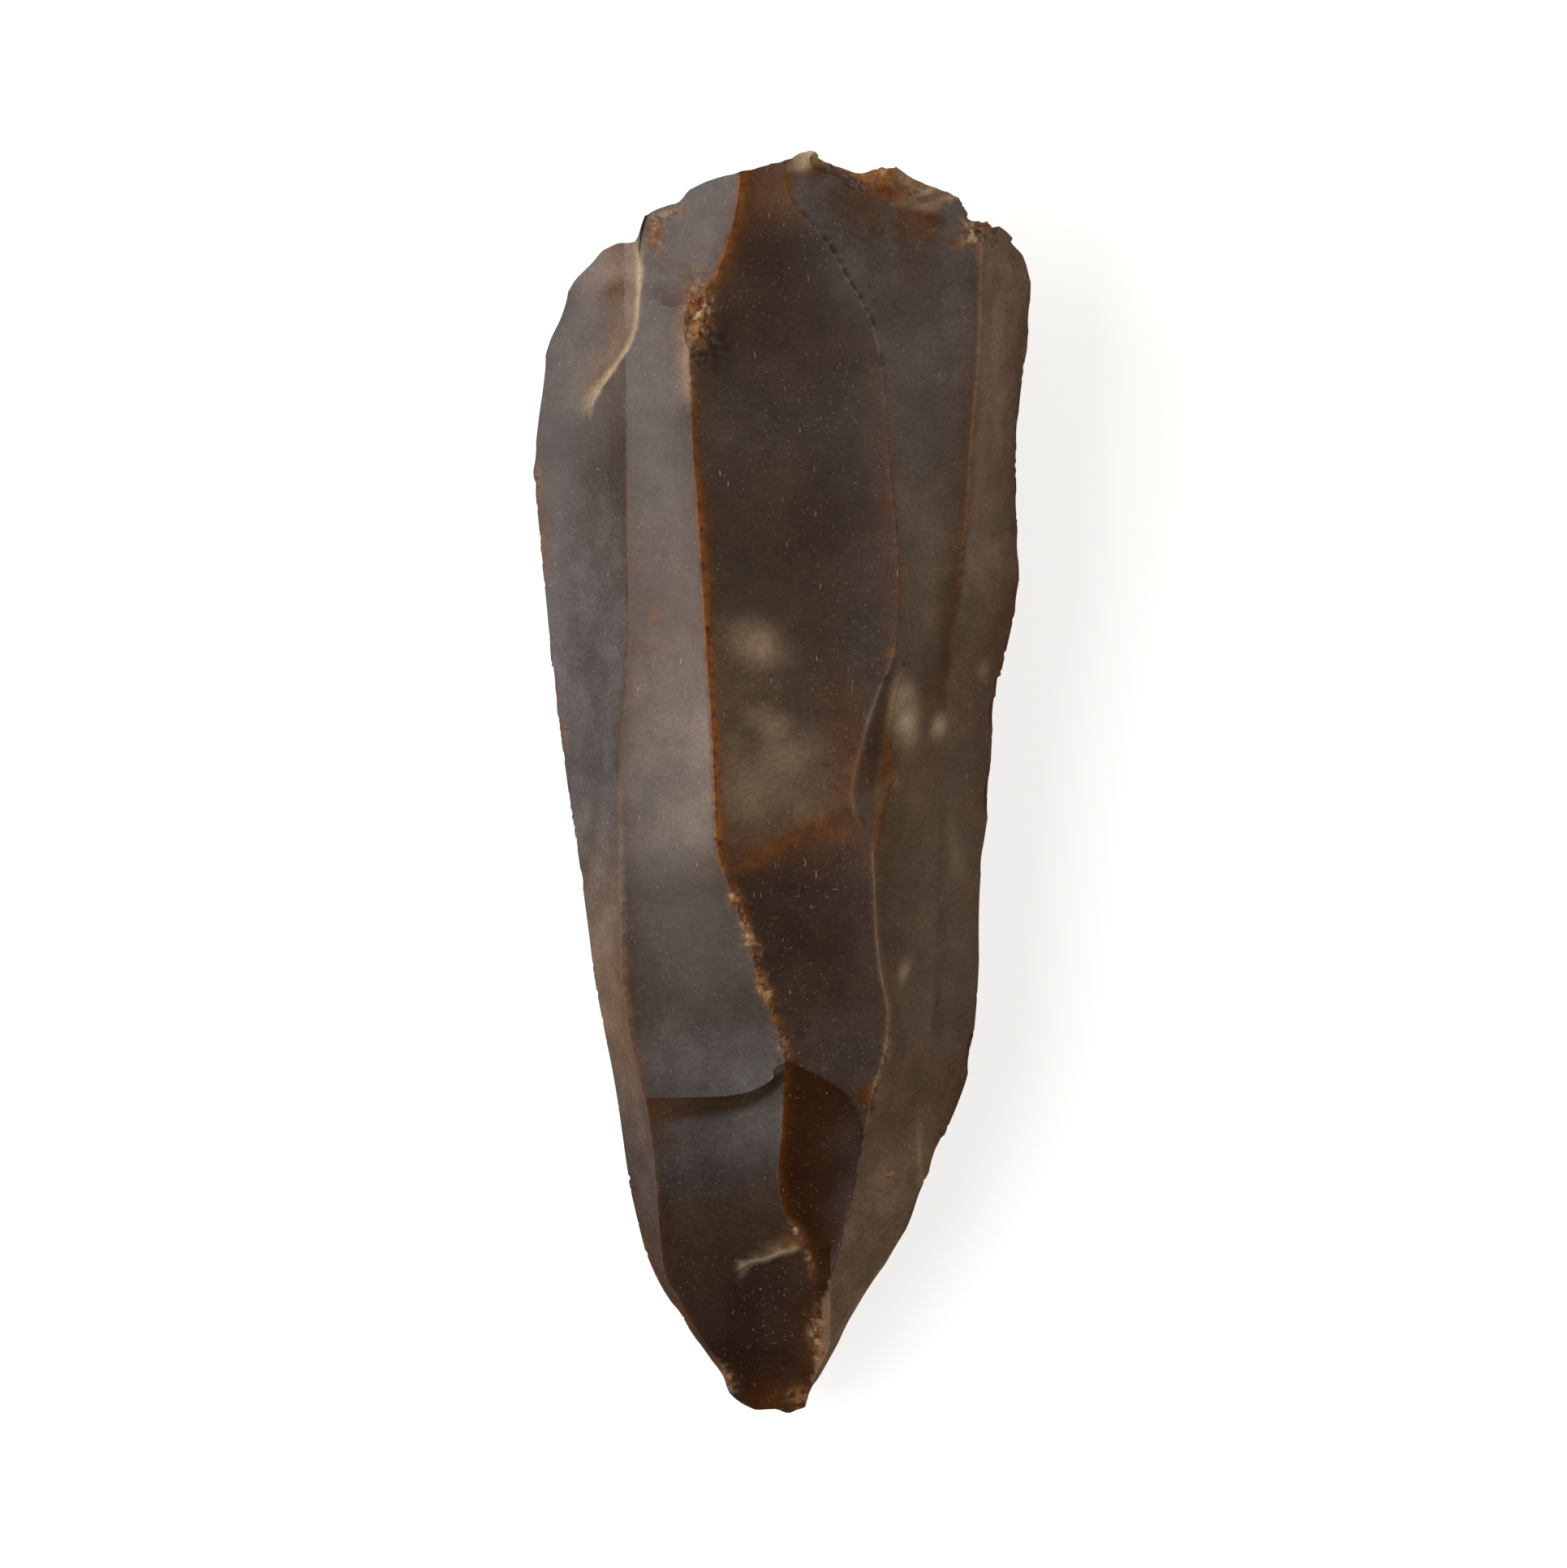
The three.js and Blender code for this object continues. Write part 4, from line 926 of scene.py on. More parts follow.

# The tints along each blade scar from the tip to the platform, as [s, colour].
TINTS = {
    FAR_LEFT: [
        [0.10, UMBER], [0.21, SMOKE], [0.31, HORN], [0.40, PALE_SMOKE], [0.49, BLUE_SMOKE_AND_SHEEN],
        [0.64, BLUE_SMOKE_AND_SHEEN], [0.76, UMBER], [0.85, SMOKE],
    ],
    LEFT: [
        [0.29, BLUE_SMOKE_AND_SHEEN], [0.33, UMBER], [0.42, UMBER], [0.52, PALE_SMOKE], [0.63, BROWN_SMOKE],
        [0.80, SMOKE], [0.95, SMOKE],
    ],
    MIDDLE: [
        [0.30, UMBER], [0.34, DARK], [0.42, DARKER], [0.46, CLAY], [0.50, DARK], [0.66, DARK],
        [0.72, DARKER], [0.78, UMBER], [0.86, DARKER], [0.93, DARKER], [0.975, CLAY],
    ],
    RIGHT: [
        [0.20, LIGHT_HORN], [0.28, HORN], [0.36, BROWN_SMOKE], [0.51, OLIVE], [0.66, BROWN_SMOKE],
        [0.80, SMOKE], [0.88, BLUE_SMOKE_AND_SHEEN],
    ],
    FAR_RIGHT: [
        [0.22, LIGHT_HORN], [0.32, BROWN_SMOKE], [0.46, BROWN_SMOKE], [0.60, HORN], [0.70, GREY_HORN],
        [0.90, GREY_HORN],
    ],
}

# Patches at the platform's edge and near the tip, as corners [s, u] that run anticlockwise.
GOLD_WEDGE = [[0.9866, 0.608], [0.9634, 0.727], [1.01, 0.727], [1.01, 0.608]]
PALE_HOLLOW = [
    [0.956, 0.728], [0.955, 0.765], [0.9634, 0.82], [0.972, 0.85], [1.01, 0.85], [1.01, 0.728],
]
THIN_LENS = [[0.953, 0.762], [0.9497, 0.79], [0.963, 0.856], [0.9665, 0.845], [0.9605, 0.80]]
CLAY_PATCH = [[0.957, 0.729], [0.926, 0.729], [0.926, 0.81], [0.944, 0.83], [0.951, 0.77]]
TRIANGLE = [[0.258, 0.634], [0.2375, 0.686], [0.265, 0.6955]]
FLAP = [
    [0.1182, 0.4127], [0.1262, 0.4826], [0.1355, 0.5557], [0.149, 0.551], [0.1414, 0.502],
    [0.133, 0.4615],
]
KNOB = [[0.984, 0.525], [0.983, 0.572], [0.99, 0.595], [1.01, 0.58], [1.01, 0.53]]

# Marks that follow a line: strength, line, widths to its left and right, from s, to s, softness.
GLOWING_LINES = [
    (0.85, main_ridge, 0.3, 2.1, 0.868, 0.985, 0.012),
    (0.75, main_ridge, 0.2, 1.3, 0.42, 0.82, 0.03),
    (0.50, right_ridge, 1.7, 0.3, 0.57, 0.84, 0.04),
    (0.45, right_ridge, 0.6, 0.3, 0.28, 0.57, 0.04),
    (0.60, far_ridge, 1.5, 0.3, 0.5, 0.93, 0.05),
    (0.30, left_ridge, 0.4, 0.9, 0.24, 0.76, 0.05),
    (0.60, right_edge, 1.6, 1.0, 0.2, 0.9, 0.06),
    (1.00, right_edge, 2.4, 3.0, 0.47, 0.68, 0.03),
    (0.50, left_edge, 0.4, 0.6, 0.02, 0.2, 0.03),
    (0.80, splinter_right, 0.8, 0.2, 0.43, 0.54, 0.01),
]
RUSTY_LINES = [
    (1.0, main_ridge, 0.2, 0.6, 0.43, 0.76, 0.02),
    (0.6, main_ridge, 0.2, 0.45, 0.76, 0.83, 0.01),
    (0.85, main_ridge, 0.3, 0.7, 0.87, 0.985, 0.01),
    (0.55, main_ridge, 0.4, 0.7, 0.28, 0.43, 0.01),
    (0.40, main_ridge, 0.15, 0.3, 0.11, 0.29, 0.01),
    (0.14, right_ridge, 0.35, 0.15, 0.58, 0.80, 0.03),
    (0.10, right_ridge, 0.3, 0.15, 0.28, 0.58, 0.03),
    (0.25, far_ridge, 0.5, 0.2, 0.64, 0.84, 0.05),
    (0.20, left_ridge, 0.2, 0.3, 0.5, 0.76, 0.05),
    (0.18, left_ridge, 0.2, 0.3, 0.08, 0.38, 0.03),
    (0.35, splinter_left, 0.8, 0.2, 0.485, 0.54, 0.01),
    (0.60, splinter_right, 0.6, 0.2, 0.49, 0.53, 0.01),
    (0.50, splinter_right, 0.5, 0.2, 0.45, 0.49, 0.01),
    (0.60, left_edge, 0.5, 0.7, 0.67, 0.75, 0.02),
    (0.40, left_edge, 0.5, 0.6, 0.53, 0.58, 0.02),
    (0.40, left_edge, 0.4, 0.4, 0.03, 0.14, 0.02),
    (0.45, right_edge, 0.8, 1.5, 0.56, 0.68, 0.03),
]
# Painted highlights along ridges and step edges.
HIGHLIGHT_LINES = [
    (0.60, shoulder_line, 0.35, 0.15, 0.797, 0.925, 0.015),
    (0.25, main_ridge, 0.6, 0.25, 0.80, 0.865, 0.01),
    (0.22, right_ridge, 0.2, 0.25, 0.27, 0.45, 0.01),
    (0.16, far_ridge, 0.2, 0.25, 0.7, 0.93, 0.01),
    (0.12, left_ridge, 0.2, 0.25, 0.3, 0.5, 0.01),
    (0.18, splinter_left, 0.2, 0.25, 0.47, 0.6, 0.01),
]

# Marks in one place: strength, s, u, half size along and across the stone, turn in degrees.
GLOWS = [
    (0.90, 0.537, 0.632, 5.0, 2.2, 10),
    (0.90, 0.455, 0.50, 1.5, 7.0, 27),
    (0.75, 0.89, 0.164, 0.9, 1.8, 25),
    (0.38, 0.95, 0.67, 1.6, 4.2, -30),
    (0.45, 0.905, 0.77, 3.0, 3.0, 0),
    (0.50, 0.636, 0.242, 1.8, 1.4, 0),
    (0.75, 0.01, 0.47, 2.6, 3.4, 0),
    (0.50, 0.06, 0.545, 5.0, 1.1, 6),
    (0.45, 0.02, 0.54, 1.5, 1.5, 0),
    (0.90, 0.976, 0.516, 1.7, 0.7, 0),
    (0.45, 0.66, 0.02, 8.0, 0.8, 0),
]
RUST_SPOTS = [
    (0.45, 0.497, 0.630, 2.6, 1.6, -20),
    (0.75, 0.471, 0.571, 0.8, 1.1, 20),
    (0.35, 0.463, 0.603, 0.8, 2.4, -8),
    (0.70, 0.455, 0.507, 0.6, 3.6, 27),
    (0.40, 0.437, 0.435, 0.6, 2.4, 20),
    (1.00, 0.871, 0.327, 2.8, 1.0, 0),
    (0.75, 0.9655, 0.70, 0.5, 1.9, -13),
    (0.30, 0.9474, 0.797, 0.5, 1.5, -20),
    (0.70, 0.9275, 0.86, 0.5, 1.5, 5),
    (0.50, 0.94, 0.915, 0.6, 1.2, 5),
    (0.70, 0.937, 0.246, 1.5, 0.7, 0),
    (0.80, 0.975, 0.515, 1.3, 0.45, 0),
    (0.45, 0.262, 0.685, 0.6, 0.7, 0),
    (0.70, 0.284, 0.515, 0.8, 0.8, 0),
    (0.95, 0.634, 0.244, 0.5, 0.45, 0),
    (0.50, 0.604, 0.24, 0.35, 1.6, 0),
    (0.80, 0.604, 0.722, 0.45, 0.45, 0),
    (0.95, 0.503, 0.722, 0.9, 0.7, 0),
    (0.70, 0.526, 0.715, 1.0, 0.3, 0),
    (0.45, 0.208, 0.81, 1.2, 0.6, 0),
    (0.40, 0.137, 0.52, 1.2, 0.8, 0),
]
CREAM_CLOUDS = [
    (0.95, 0.610, 0.449, 2.0, 3.2, -28),
    (0.70, 0.545, 0.475, 2.4, 4.0, -35),
    (1.00, 0.508, 0.475, 4.8, 5.0, 20),
    (0.30, 0.555, 0.44, 7.0, 5.5, 0),
    (0.30, 0.63, 0.80, 2.6, 1.0, 0),
    (0.40, 0.45, 0.847, 3.0, 0.7, 10),
    (0.08, 0.73, 0.50, 5.0, 2.6, 0),
]
CHALK_SPOTS = [
    (1.00, 0.557, 0.751, 2.7, 1.1, 6),
    (0.85, 0.546, 0.816, 1.1, 0.7, -12),
    (0.40, 0.591, 0.905, 1.0, 0.6, 0),
    (0.50, 0.352, 0.747, 1.0, 0.45, -15),
    (0.70, 0.5015, 0.727, 0.45, 0.4, 0),
]
HIGHLIGHT_DASHES = [
    (0.40, 0.205, 0.778, 3.0, 0.18, 2),
    (0.55, 0.9665, 0.79, 0.25, 1.3, 20),
    (0.40, 0.975, 0.755, 1.0, 0.2, -20),
]
CRUSHED_SPOTS = [
    (1.0, 0.869, 0.336, 3.0, 1.1, 0),
    (1.0, 0.936, 0.888, 1.5, 1.1, 0),
    (0.8, 0.943, 0.92, 0.7, 2.2, 12),
    (0.7, 0.937, 0.25, 1.6, 0.8, 0),
    (0.5, 0.952, 0.285, 0.7, 1.5, 20),
    (0.8, 0.066, 0.572, 1.8, 0.7, 0),
    (0.9, 0.0475, 0.586, 0.8, 0.5, -20),
    (0.8, 0.014, 0.537, 0.9, 0.9, 0),
    (0.7, 0.028, 0.397, 1.3, 0.5, 25),
    (0.6, 0.19, 0.716, 0.8, 0.3, -40),
    (0.7, 0.543, 0.068, 0.4, 0.3, 0),
    (0.6, 0.742, 0.008, 0.7, 0.4, 0),
]
SCRATCHED_SPOTS = [
    (1.0, 0.435, 0.57, 4.5, 5.0, 0),
    (0.6, 0.56, 0.66, 7.0, 2.0, 12),
    (0.5, 0.80, 0.235, 12.0, 1.6, 0),
    (0.4, 0.62, 0.50, 8.0, 4.0, 0),
    (0.7, 0.256, 0.752, 3.5, 2.2, 0),
]
SOOT_SPOTS = [
    (0.9, 0.584, 0.709, 0.6, 0.2, -20),
    (0.6, 0.595, 0.746, 1.1, 0.3, -30),
    (0.6, 0.531, 0.651, 1.2, 0.4, -30),
    (0.5, 0.514, 0.589, 0.5, 0.5, 0),
    (0.8, 0.2606, 0.356, 0.45, 0.3, 0),
]


def normals_of(points, triangles):
    corners = points[triangles]
    faces = np.cross(corners[:, 1] - corners[:, 0], corners[:, 2] - corners[:, 0])
    total = np.zeros_like(points)
    for k in range(3):
        np.add.at(total, triangles[:, k], faces)
    return total / np.maximum(np.linalg.norm(total, axis=1), 1e-12)[:, None]


def soft_step(value, low, high):
    t = np.clip((value - low) / (high - low), 0, 1)
    return t * t * (3 - 2 * t)


def blob(s, u, at, size, turn=0):
    """A soft spot at [s, u], with half sizes [along, across] in millimetres, turned anticlockwise."""
    dy, dx = (s - at[0]) * LENGTH, (u - at[1]) * WIDTH
    c, d = math.cos(math.radians(turn)), math.sin(math.radians(turn))
    return np.exp(-(((dy * c - dx * d) / size[0]) ** 2) - ((dx * c + dy * d) / size[1]) ** 2)


def spots(s, u, rows):
    """The strongest mark at each point, of those in one place."""
    marks = [row[0] * blob(s, u, row[1:3], row[3:5], row[5]) for row in rows]
    return np.max(marks, axis=0)


def beside(s, u, line, left, right):
    """How near a point is to a line that runs along the stone, with a width on either side of it."""
    off = (u - line(s)[0]) * WIDTH
    return np.exp(-((off / np.where(off < 0, left, right)) ** 2))


def span(s, low, high, soft=0.01):
    return soft_step(s, low - soft, low + soft) * (1 - soft_step(s, high - soft, high + soft))


def traces(s, u, rows):
    """The strongest mark at each point, of those that follow a line."""
    marks = [row[0] * beside(s, u, *row[1:4]) * span(s, *row[4:]) for row in rows]
    return np.max(marks, axis=0)


def mix(base, colour, share):
    return base + (np.array(colour) - base) * np.clip(share, 0, 1)[:, None]


def share_across(side, s, u):
    first, last = corner_lines[side](s)[0], corner_lines[side + 1](s)[0]
    return np.clip((u - first) / np.maximum(last - first, 0.01), 0, 1)


def within(s, u, corners, soft=0.25):
    """The share of a point inside a patch with straight sides and borders of so many millimetres."""
    share = np.ones_like(s)
    for (s0, u0), (s1, u1) in zip(corners, corners[1:] + corners[:1]):
        side = unit([(u1 - u0) * WIDTH, (s1 - s0) * LENGTH])
        inwards = (s - s0) * LENGTH * side[0] - (u - u0) * WIDTH * side[1]
        share = np.minimum(share, soft_step(inwards, -soft, soft))
    return share


def tint_along(side, s):
    """The colour of one scar at each share s."""
    places = [row[0] for row in TINTS[side]]
    colours = np.array([row[1] for row in TINTS[side]])
    return np.stack([np.interp(s, places, colours[:, channel]) for channel in range(3)], 1)


def tint_by_scar(s, u, x, y):
    """The flint's colour at each point, with painted shade and sheen in the hinged scar and a painted
    highlight on the left scar, and whether it is in the hinged or the leaf scar.
    """
    which = side_at(x, y)
    base = np.zeros((len(s), 3))
    for side in TINTS:
        base += tint_along(side, s) * (which == side)[:, None]
    left, middle, right = (which == LEFT), (which == MIDDLE), (which == RIGHT)
    hollow = left & (s < hinge_arc(share_across(LEFT, s, u)))
    leaf = middle & (s < leaf_arc(share_across(MIDDLE, s, u)))
    base = hinge_painted_shade_and_sheen(base, s, u, hollow)
    base = mix(base, LEAF_BROWN, leaf * 1.0)
    # Painted highlight: paler where the left scar's sheen is brightest.
    base = mix(base, PALE_SMOKE, left * 0.7 * blob(s, u, [0.478, 0.305], [3.5, 4.0]))
    base = mix(base, HORN, left * beside(s, u, main_ridge, 1.5, 0.3) * span(s, 0.80, 0.872))
    in_shoulder = (u < shoulder_line(s)[0] + 0.004) * soft_step(s, 0.785, 0.825)
    base = mix(base, HORN, in_shoulder * 0.9 * beside(s, u, shoulder_line, 2.6, 1.0))
    base = mix(base, HORN, in_shoulder * 0.6 * blob(s, u, [0.907, 0.155], [3.0, 2.6]))
    base = mix(base, CLAY, middle * 0.8 * blob(s, u, [0.958, 0.515], [2.4, 2.2]))
    base = mix(base, BROWN_SMOKE, right * 0.8 * blob(s, u, [0.955, 0.655], [2.4, 3.6], -30))
    return platform_tints(base, s, u), hollow, leaf


def platform_tints(base, s, u):
    """The broken places along the platform's edge."""
    base = mix(base, CLAY, 0.8 * within(s, u, CLAY_PATCH))
    base = mix(base, TAN, 0.85 * within(s, u, PALE_HOLLOW))
    shade = 0.7 * blob(s, u, [0.962, 0.785], [1.1, 1.6], 20)
    base = mix(base, SMOKE, shade * within(s, u, PALE_HOLLOW))
    base = mix(base, TAN, 0.8 * within(s, u, THIN_LENS, 0.12))
    base = mix(base, CHALK_AND_HIGHLIGHT, within(s, u, KNOB, 0.4))
    base = mix(base, AMBER, blob(s, u, [0.9845, 0.572], [0.9, 1.2]))
    base = mix(base, GOLD, within(s, u, GOLD_WEDGE, 0.15))
    base = mix(base, DEEP_RUST, 0.85 * blob(s, u, [0.9474, 0.797], [0.55, 1.7], -20))
    base = mix(base, SOOT, 0.7 * blob(s, u, [0.9465, 0.803], [0.3, 0.7], -20))
    return mix(base, DEEP_RUST, blob(s, u, [0.968, 0.712], [0.9, 2.0], -12))


def hinge_painted_shade_and_sheen(base, s, u, hollow):
    """The hinged scar: a painted shade band under its step, then a painted grey sheen that dies out
    towards the tip.
    """
    across = share_across(LEFT, s, u)
    below = (hinge_arc(across) - s) * LENGTH
    under = SHADE_BAND_WIDTH * (1.2 - 0.5 * across), SHADE_BAND_WIDTH * (2.2 - 0.9 * across)
    shade_band = hollow * (1 - soft_step(below, *under))
    base = mix(base, BLUE_SMOKE_AND_SHEEN, hollow * 1.0)
    base = mix(base, FADING_SHEEN_GREY, hollow * soft_step(below, 3, 8))
    base = mix(base, DARK, hollow * soft_step(below, 6.5, 11.5))
    base = mix(base, DARKER, hollow * soft_step(below, 13, 20))
    base = mix(base, DARKEST, hollow * soft_step(below, 21, 27))
    # Painted shade: the band under the step, thicker at the left corner.
    corner = (1 - soft_step(across, 0.0, 0.3)) * (1 - soft_step(below, 2, 8))
    base = mix(base, SHADE_BAND_BROWN, hollow * 0.8 * corner)
    base = mix(base, DARK, shade_band)
    return mix(base, SHADE_BAND_BROWN, shade_band * (1 - soft_step(across, 0.0, 0.7)))


def amber_glow(s, u, hollow, leaf):
    """Where the flint lets warm light through: beside ridges, at thin edges and round the stains."""
    glows = [
        traces(s, u, GLOWING_LINES),
        spots(s, u, GLOWS),
        0.50 * blob(s, u, [0.245, 0.215], [2.2, 1.6]) * hollow,
        0.55 * beside(s, u, main_ridge, 0.2, 1.0) * leaf,
    ]
    return np.max(glows, axis=0)


def rust_stains(s, u):
    """Rust: along the ridges, over the cross ridge, in the breaks and at the ends."""
    return np.maximum(traces(s, u, RUSTY_LINES), spots(s, u, RUST_SPOTS))


def painted_ridge_highlights(s, u):
    """Thin light lines where ridges and steps catch the light."""
    return np.maximum(traces(s, u, HIGHLIGHT_LINES), spots(s, u, HIGHLIGHT_DASHES))


def painted_step_highlights(s, u, depth):
    """The lit walls of the two small steps: at the shoulder and under the flap near the tip."""
    on_wall = soft_step(depth, 0.02, 0.08) * (1 - soft_step(depth, 0.2, 0.36))
    near = beside(s, u, shoulder_line, 0.9, 0.6)
    shoulder = on_wall * near * span(s, 0.795, 0.93, 0.02)
    past = depth - HINGE_DEPTH
    flap_wall = soft_step(past, 0.06, 0.12) * (1 - soft_step(past, 0.22, 0.34))
    flap = flap_wall * span(u, 0.418, 0.548, 0.008) * (np.abs(s - tip_edge(u)) * LENGTH < 1.0)
    return np.maximum(0.5 * shoulder, 0.2 * flap)


def crushed_places(s, u, depth):
    """Where the stone is crushed or freshly broken, and so is rough and pale."""
    grain = noise(u * WIDTH, s * LENGTH, 0, 1.1, seed=61)
    above = beside(s, u, main_ridge, 0.5, 0.7) * span(s, 0.29, 0.42)
    below = beside(s, u, main_ridge, 0.4, 0.5) * span(s, 0.12, 0.165)
    places = [
        0.9 * above * soft_step(grain, -0.25, 0.35),
        0.8 * below * soft_step(grain, -0.2, 0.3),
        0.55 * within(s, u, GOLD_WEDGE, 0.3) * (1 - blob(s, u, [0.968, 0.712], [1.0, 2.2], -12)),
        0.35 * beside(s, u, right_ridge, 0.35, 0.5) * span(s, 0.24, 0.3),
        0.25 * soft_step(depth, 0.1, 0.3) * (s > 0.93) * (u > 0.42),
        spots(s, u, CRUSHED_SPOTS),
    ]
    return np.clip(np.max(places, axis=0), 0, 1)


def sooty_places(s, u):
    patch = blob(s, u, [0.842, 0.366], [2.3, 1.7], -25) * (u > main_ridge(s)[0])
    line = 0.5 * beside(s, u, main_ridge, 0.1, 0.4) * span(s, 0.77, 0.84)
    return np.max([patch, line, spots(s, u, SOOT_SPOTS)], axis=0)


def back_tint(x, y, z, drift):
    """The plain colour of the sides that face down."""
    base = np.tile(np.array(UMBER), (len(x), 1))
    base = mix(base, HORN, 0.6 * soft_step(drift, -0.1, 0.5))
    return mix(base, SMOKE, 0.5 * soft_step(noise(x, y, z, 14.0, seed=37), 0, 0.5))


def looks_at(points, triangles):
    """The colour and the shares of rust, crushing, soot and scratches at each point of the mesh."""
    normals = normals_of(points, triangles)
    x, y, z = points.T
    s, u = share_s(y), share_u(x)
    depth = face_height(x, y) - z
    up = soft_step(normals[:, 2], -0.05, 0.2)
    drift = 0.5 * noise(x, y, z, 8.0, seed=31) + 0.35 * noise(x, y, z, 3.2, seed=32)
    patchy = 0.75 + 0.45 * noise(x, y, z, 2.4, seed=21)
    tone, hollow, leaf = tint_by_scar(s, u, x, y)
    tone = mix(tone, AMBER, amber_glow(s, u, hollow, leaf) * np.clip(0.95 + 0.3 * drift, 0, 1))
    tone = mix(tone, CREAM, spots(s, u, CREAM_CLOUDS) * np.clip(patchy + 0.2, 0, 1))
    tone = mix(tone, CHALK_AND_HIGHLIGHT, spots(s, u, CHALK_SPOTS) * np.clip(patchy + 0.1, 0, 1))
    tone = mix(tone, AMBER, 0.8 * within(s, u, TRIANGLE, 0.2))
    flap = within(s, u, FLAP, 0.2)
    tone = mix(tone, BROWN_SMOKE, 0.8 * flap)
    tone = mix(tone, AMBER, 0.9 * flap * soft_step(u, 0.532, 0.555))
    low_edge = np.exp(-(((s - tip_edge(u)) * LENGTH - 0.1) / 0.22) ** 2)
    tone = mix(tone, CHALK_AND_HIGHLIGHT, 0.6 * low_edge * span(u, 0.415, 0.535, 0.012))
    # Painted highlights: ridges and the walls of small steps that catch the light.
    tone = mix(tone, CHALK_AND_HIGHLIGHT, np.maximum(painted_ridge_highlights(s, u), painted_step_highlights(s, u, depth)))
    below = back_tint(x, y, z, drift)
    tone = (tone * up[:, None] + below * (1 - up)[:, None]) * (1 + 0.25 * drift)[:, None]
    rust_below = soft_step(noise(x, y, z, 7.0, seed=35) + 0.5 * noise(x, y, z, 1.8, seed=36), 0.3, 0.8)
    rust = rust_stains(s, u) * np.clip(patchy + 0.15, 0, 1) * up + 0.45 * rust_below * (1 - up)
    return tone, {
        "rust": np.clip(rust, 0, 1),
        "crushed": crushed_places(s, u, depth) * up,
        "soot": sooty_places(s, u) * up,
        "scratched": spots(s, u, SCRATCHED_SPOTS) * up,
    }


class Shading:
    """Small helpers that add nodes to one material."""

    def __init__(self, name):
        self.material = bpy.data.materials.new(name)
        self.material.use_nodes = True
        self.tree = self.material.node_tree
        self.tree.nodes.clear()
        self.link = self.tree.links.new
        self.place = self.tree.nodes.new("ShaderNodeTexCoord").outputs["Object"]

    def node(self, kind, **inputs):
        made = self.tree.nodes.new(kind)
        for name, value in inputs.items():
            made.inputs[name].default_value = value
        return made

    def attribute(self, name, output="Fac"):
        made = self.tree.nodes.new("ShaderNodeAttribute")
        made.attribute_name = name
        return made.outputs[output]

    def maths(self, operation, a, b, clamp=False):
        made = self.tree.nodes.new("ShaderNodeMath")
        made.operation = operation
        made.use_clamp = clamp
        for socket, value in zip(made.inputs, (a, b)):
            if isinstance(value, (int, float)):
                socket.default_value = value
            else:
                self.link(value, socket)
        return made.outputs[0]

    def times(self, a, b):
        return self.maths("MULTIPLY", a, b)

    def plus(self, a, b):
        return self.maths("ADD", a, b)

    def larger(self, a, b):
        return self.maths("MAXIMUM", a, b)

    def ramp(self, value, low, high):
        made = self.tree.nodes.new("ShaderNodeMapRange")
        made.interpolation_type = "SMOOTHSTEP"
        made.inputs["From Min"].default_value = low
        made.inputs["From Max"].default_value = high
        self.link(value, made.inputs["Value"])
        return made.outputs[0]

    def blend(self, factor, a, b, mode="MIX"):
        made = self.tree.nodes.new("ShaderNodeMix")
        made.data_type = "RGBA"
        made.blend_type = mode
        for name, value in (("Factor", factor), ("A", a), ("B", b)):
            socket = next(i for i in made.inputs if i.name == name and i.enabled)
            if isinstance(value, tuple):
                socket.default_value = (*value, 1)
            elif isinstance(value, float):
                socket.default_value = value
            else:
                self.link(value, socket)
        return next(o for o in made.outputs if o.enabled)

    def turned(self, turn, scale, place):
        made = self.node("ShaderNodeMapping", Rotation=(0, 0, math.radians(turn)), Scale=scale)
        self.link(place, made.inputs["Vector"])
        return made.outputs[0]

    def ragged(self, scale, reach):
        """Places moved about a little, so that spots laid out by them are ragged."""
        noise_node = self.node("ShaderNodeTexNoise", Scale=scale, Detail=2.0)
        self.link(self.place, noise_node.inputs["Vector"])
        moved = self.tree.nodes.new("ShaderNodeVectorMath")
        moved.operation = "MULTIPLY_ADD"
        self.link(noise_node.outputs["Color"], moved.inputs[0])
        moved.inputs[1].default_value = (reach, reach, reach)
        self.link(self.place, moved.inputs[2])
        return moved.outputs[0]

    def grain(self, scale, detail):
        made = self.node("ShaderNodeTexNoise", Scale=scale, Detail=detail)
        self.link(self.place, made.inputs["Vector"])
        return made.outputs["Fac"]

    def specks(self, scale, size, share, place=None):
        """Spots of some size and differing strength, in a share of the cells of a texture."""
        made = self.node("ShaderNodeTexVoronoi", Scale=scale)
        self.link(place or self.place, made.inputs["Vector"])
        channels = self.tree.nodes.new("ShaderNodeSeparateColor")
        self.link(made.outputs["Color"], channels.inputs[0])
        chosen = self.maths("LESS_THAN", channels.outputs[0], share)
        spot = self.ramp(made.outputs["Distance"], size, size * 0.4)
        strength = self.plus(self.times(channels.outputs[1], 0.8), 0.2)
        return self.times(self.times(chosen, spot), strength)

    def mottle(self, colour, scale, detail, dark, light):
        """Makes the colour darker and lighter by a cloudy texture; dark and light are factors."""
        clouds = self.blend(self.ramp(self.grain(scale, detail), 0.32, 0.68), dark, light)
        return self.blend(1.0, colour, clouds, "MULTIPLY")


# Clouds of the flint from wide to fine: scale, detail, factors of their dark and light parts.
MOTTLING = [
    (110, 3, (0.86, 0.85, 0.84), (1.13, 1.14, 1.16)),
    (420, 5, (0.88, 0.86, 0.84), (1.11, 1.13, 1.16)),
    (2600, 3, (0.88, 0.87, 0.86), (1.12, 1.13, 1.15)),
]
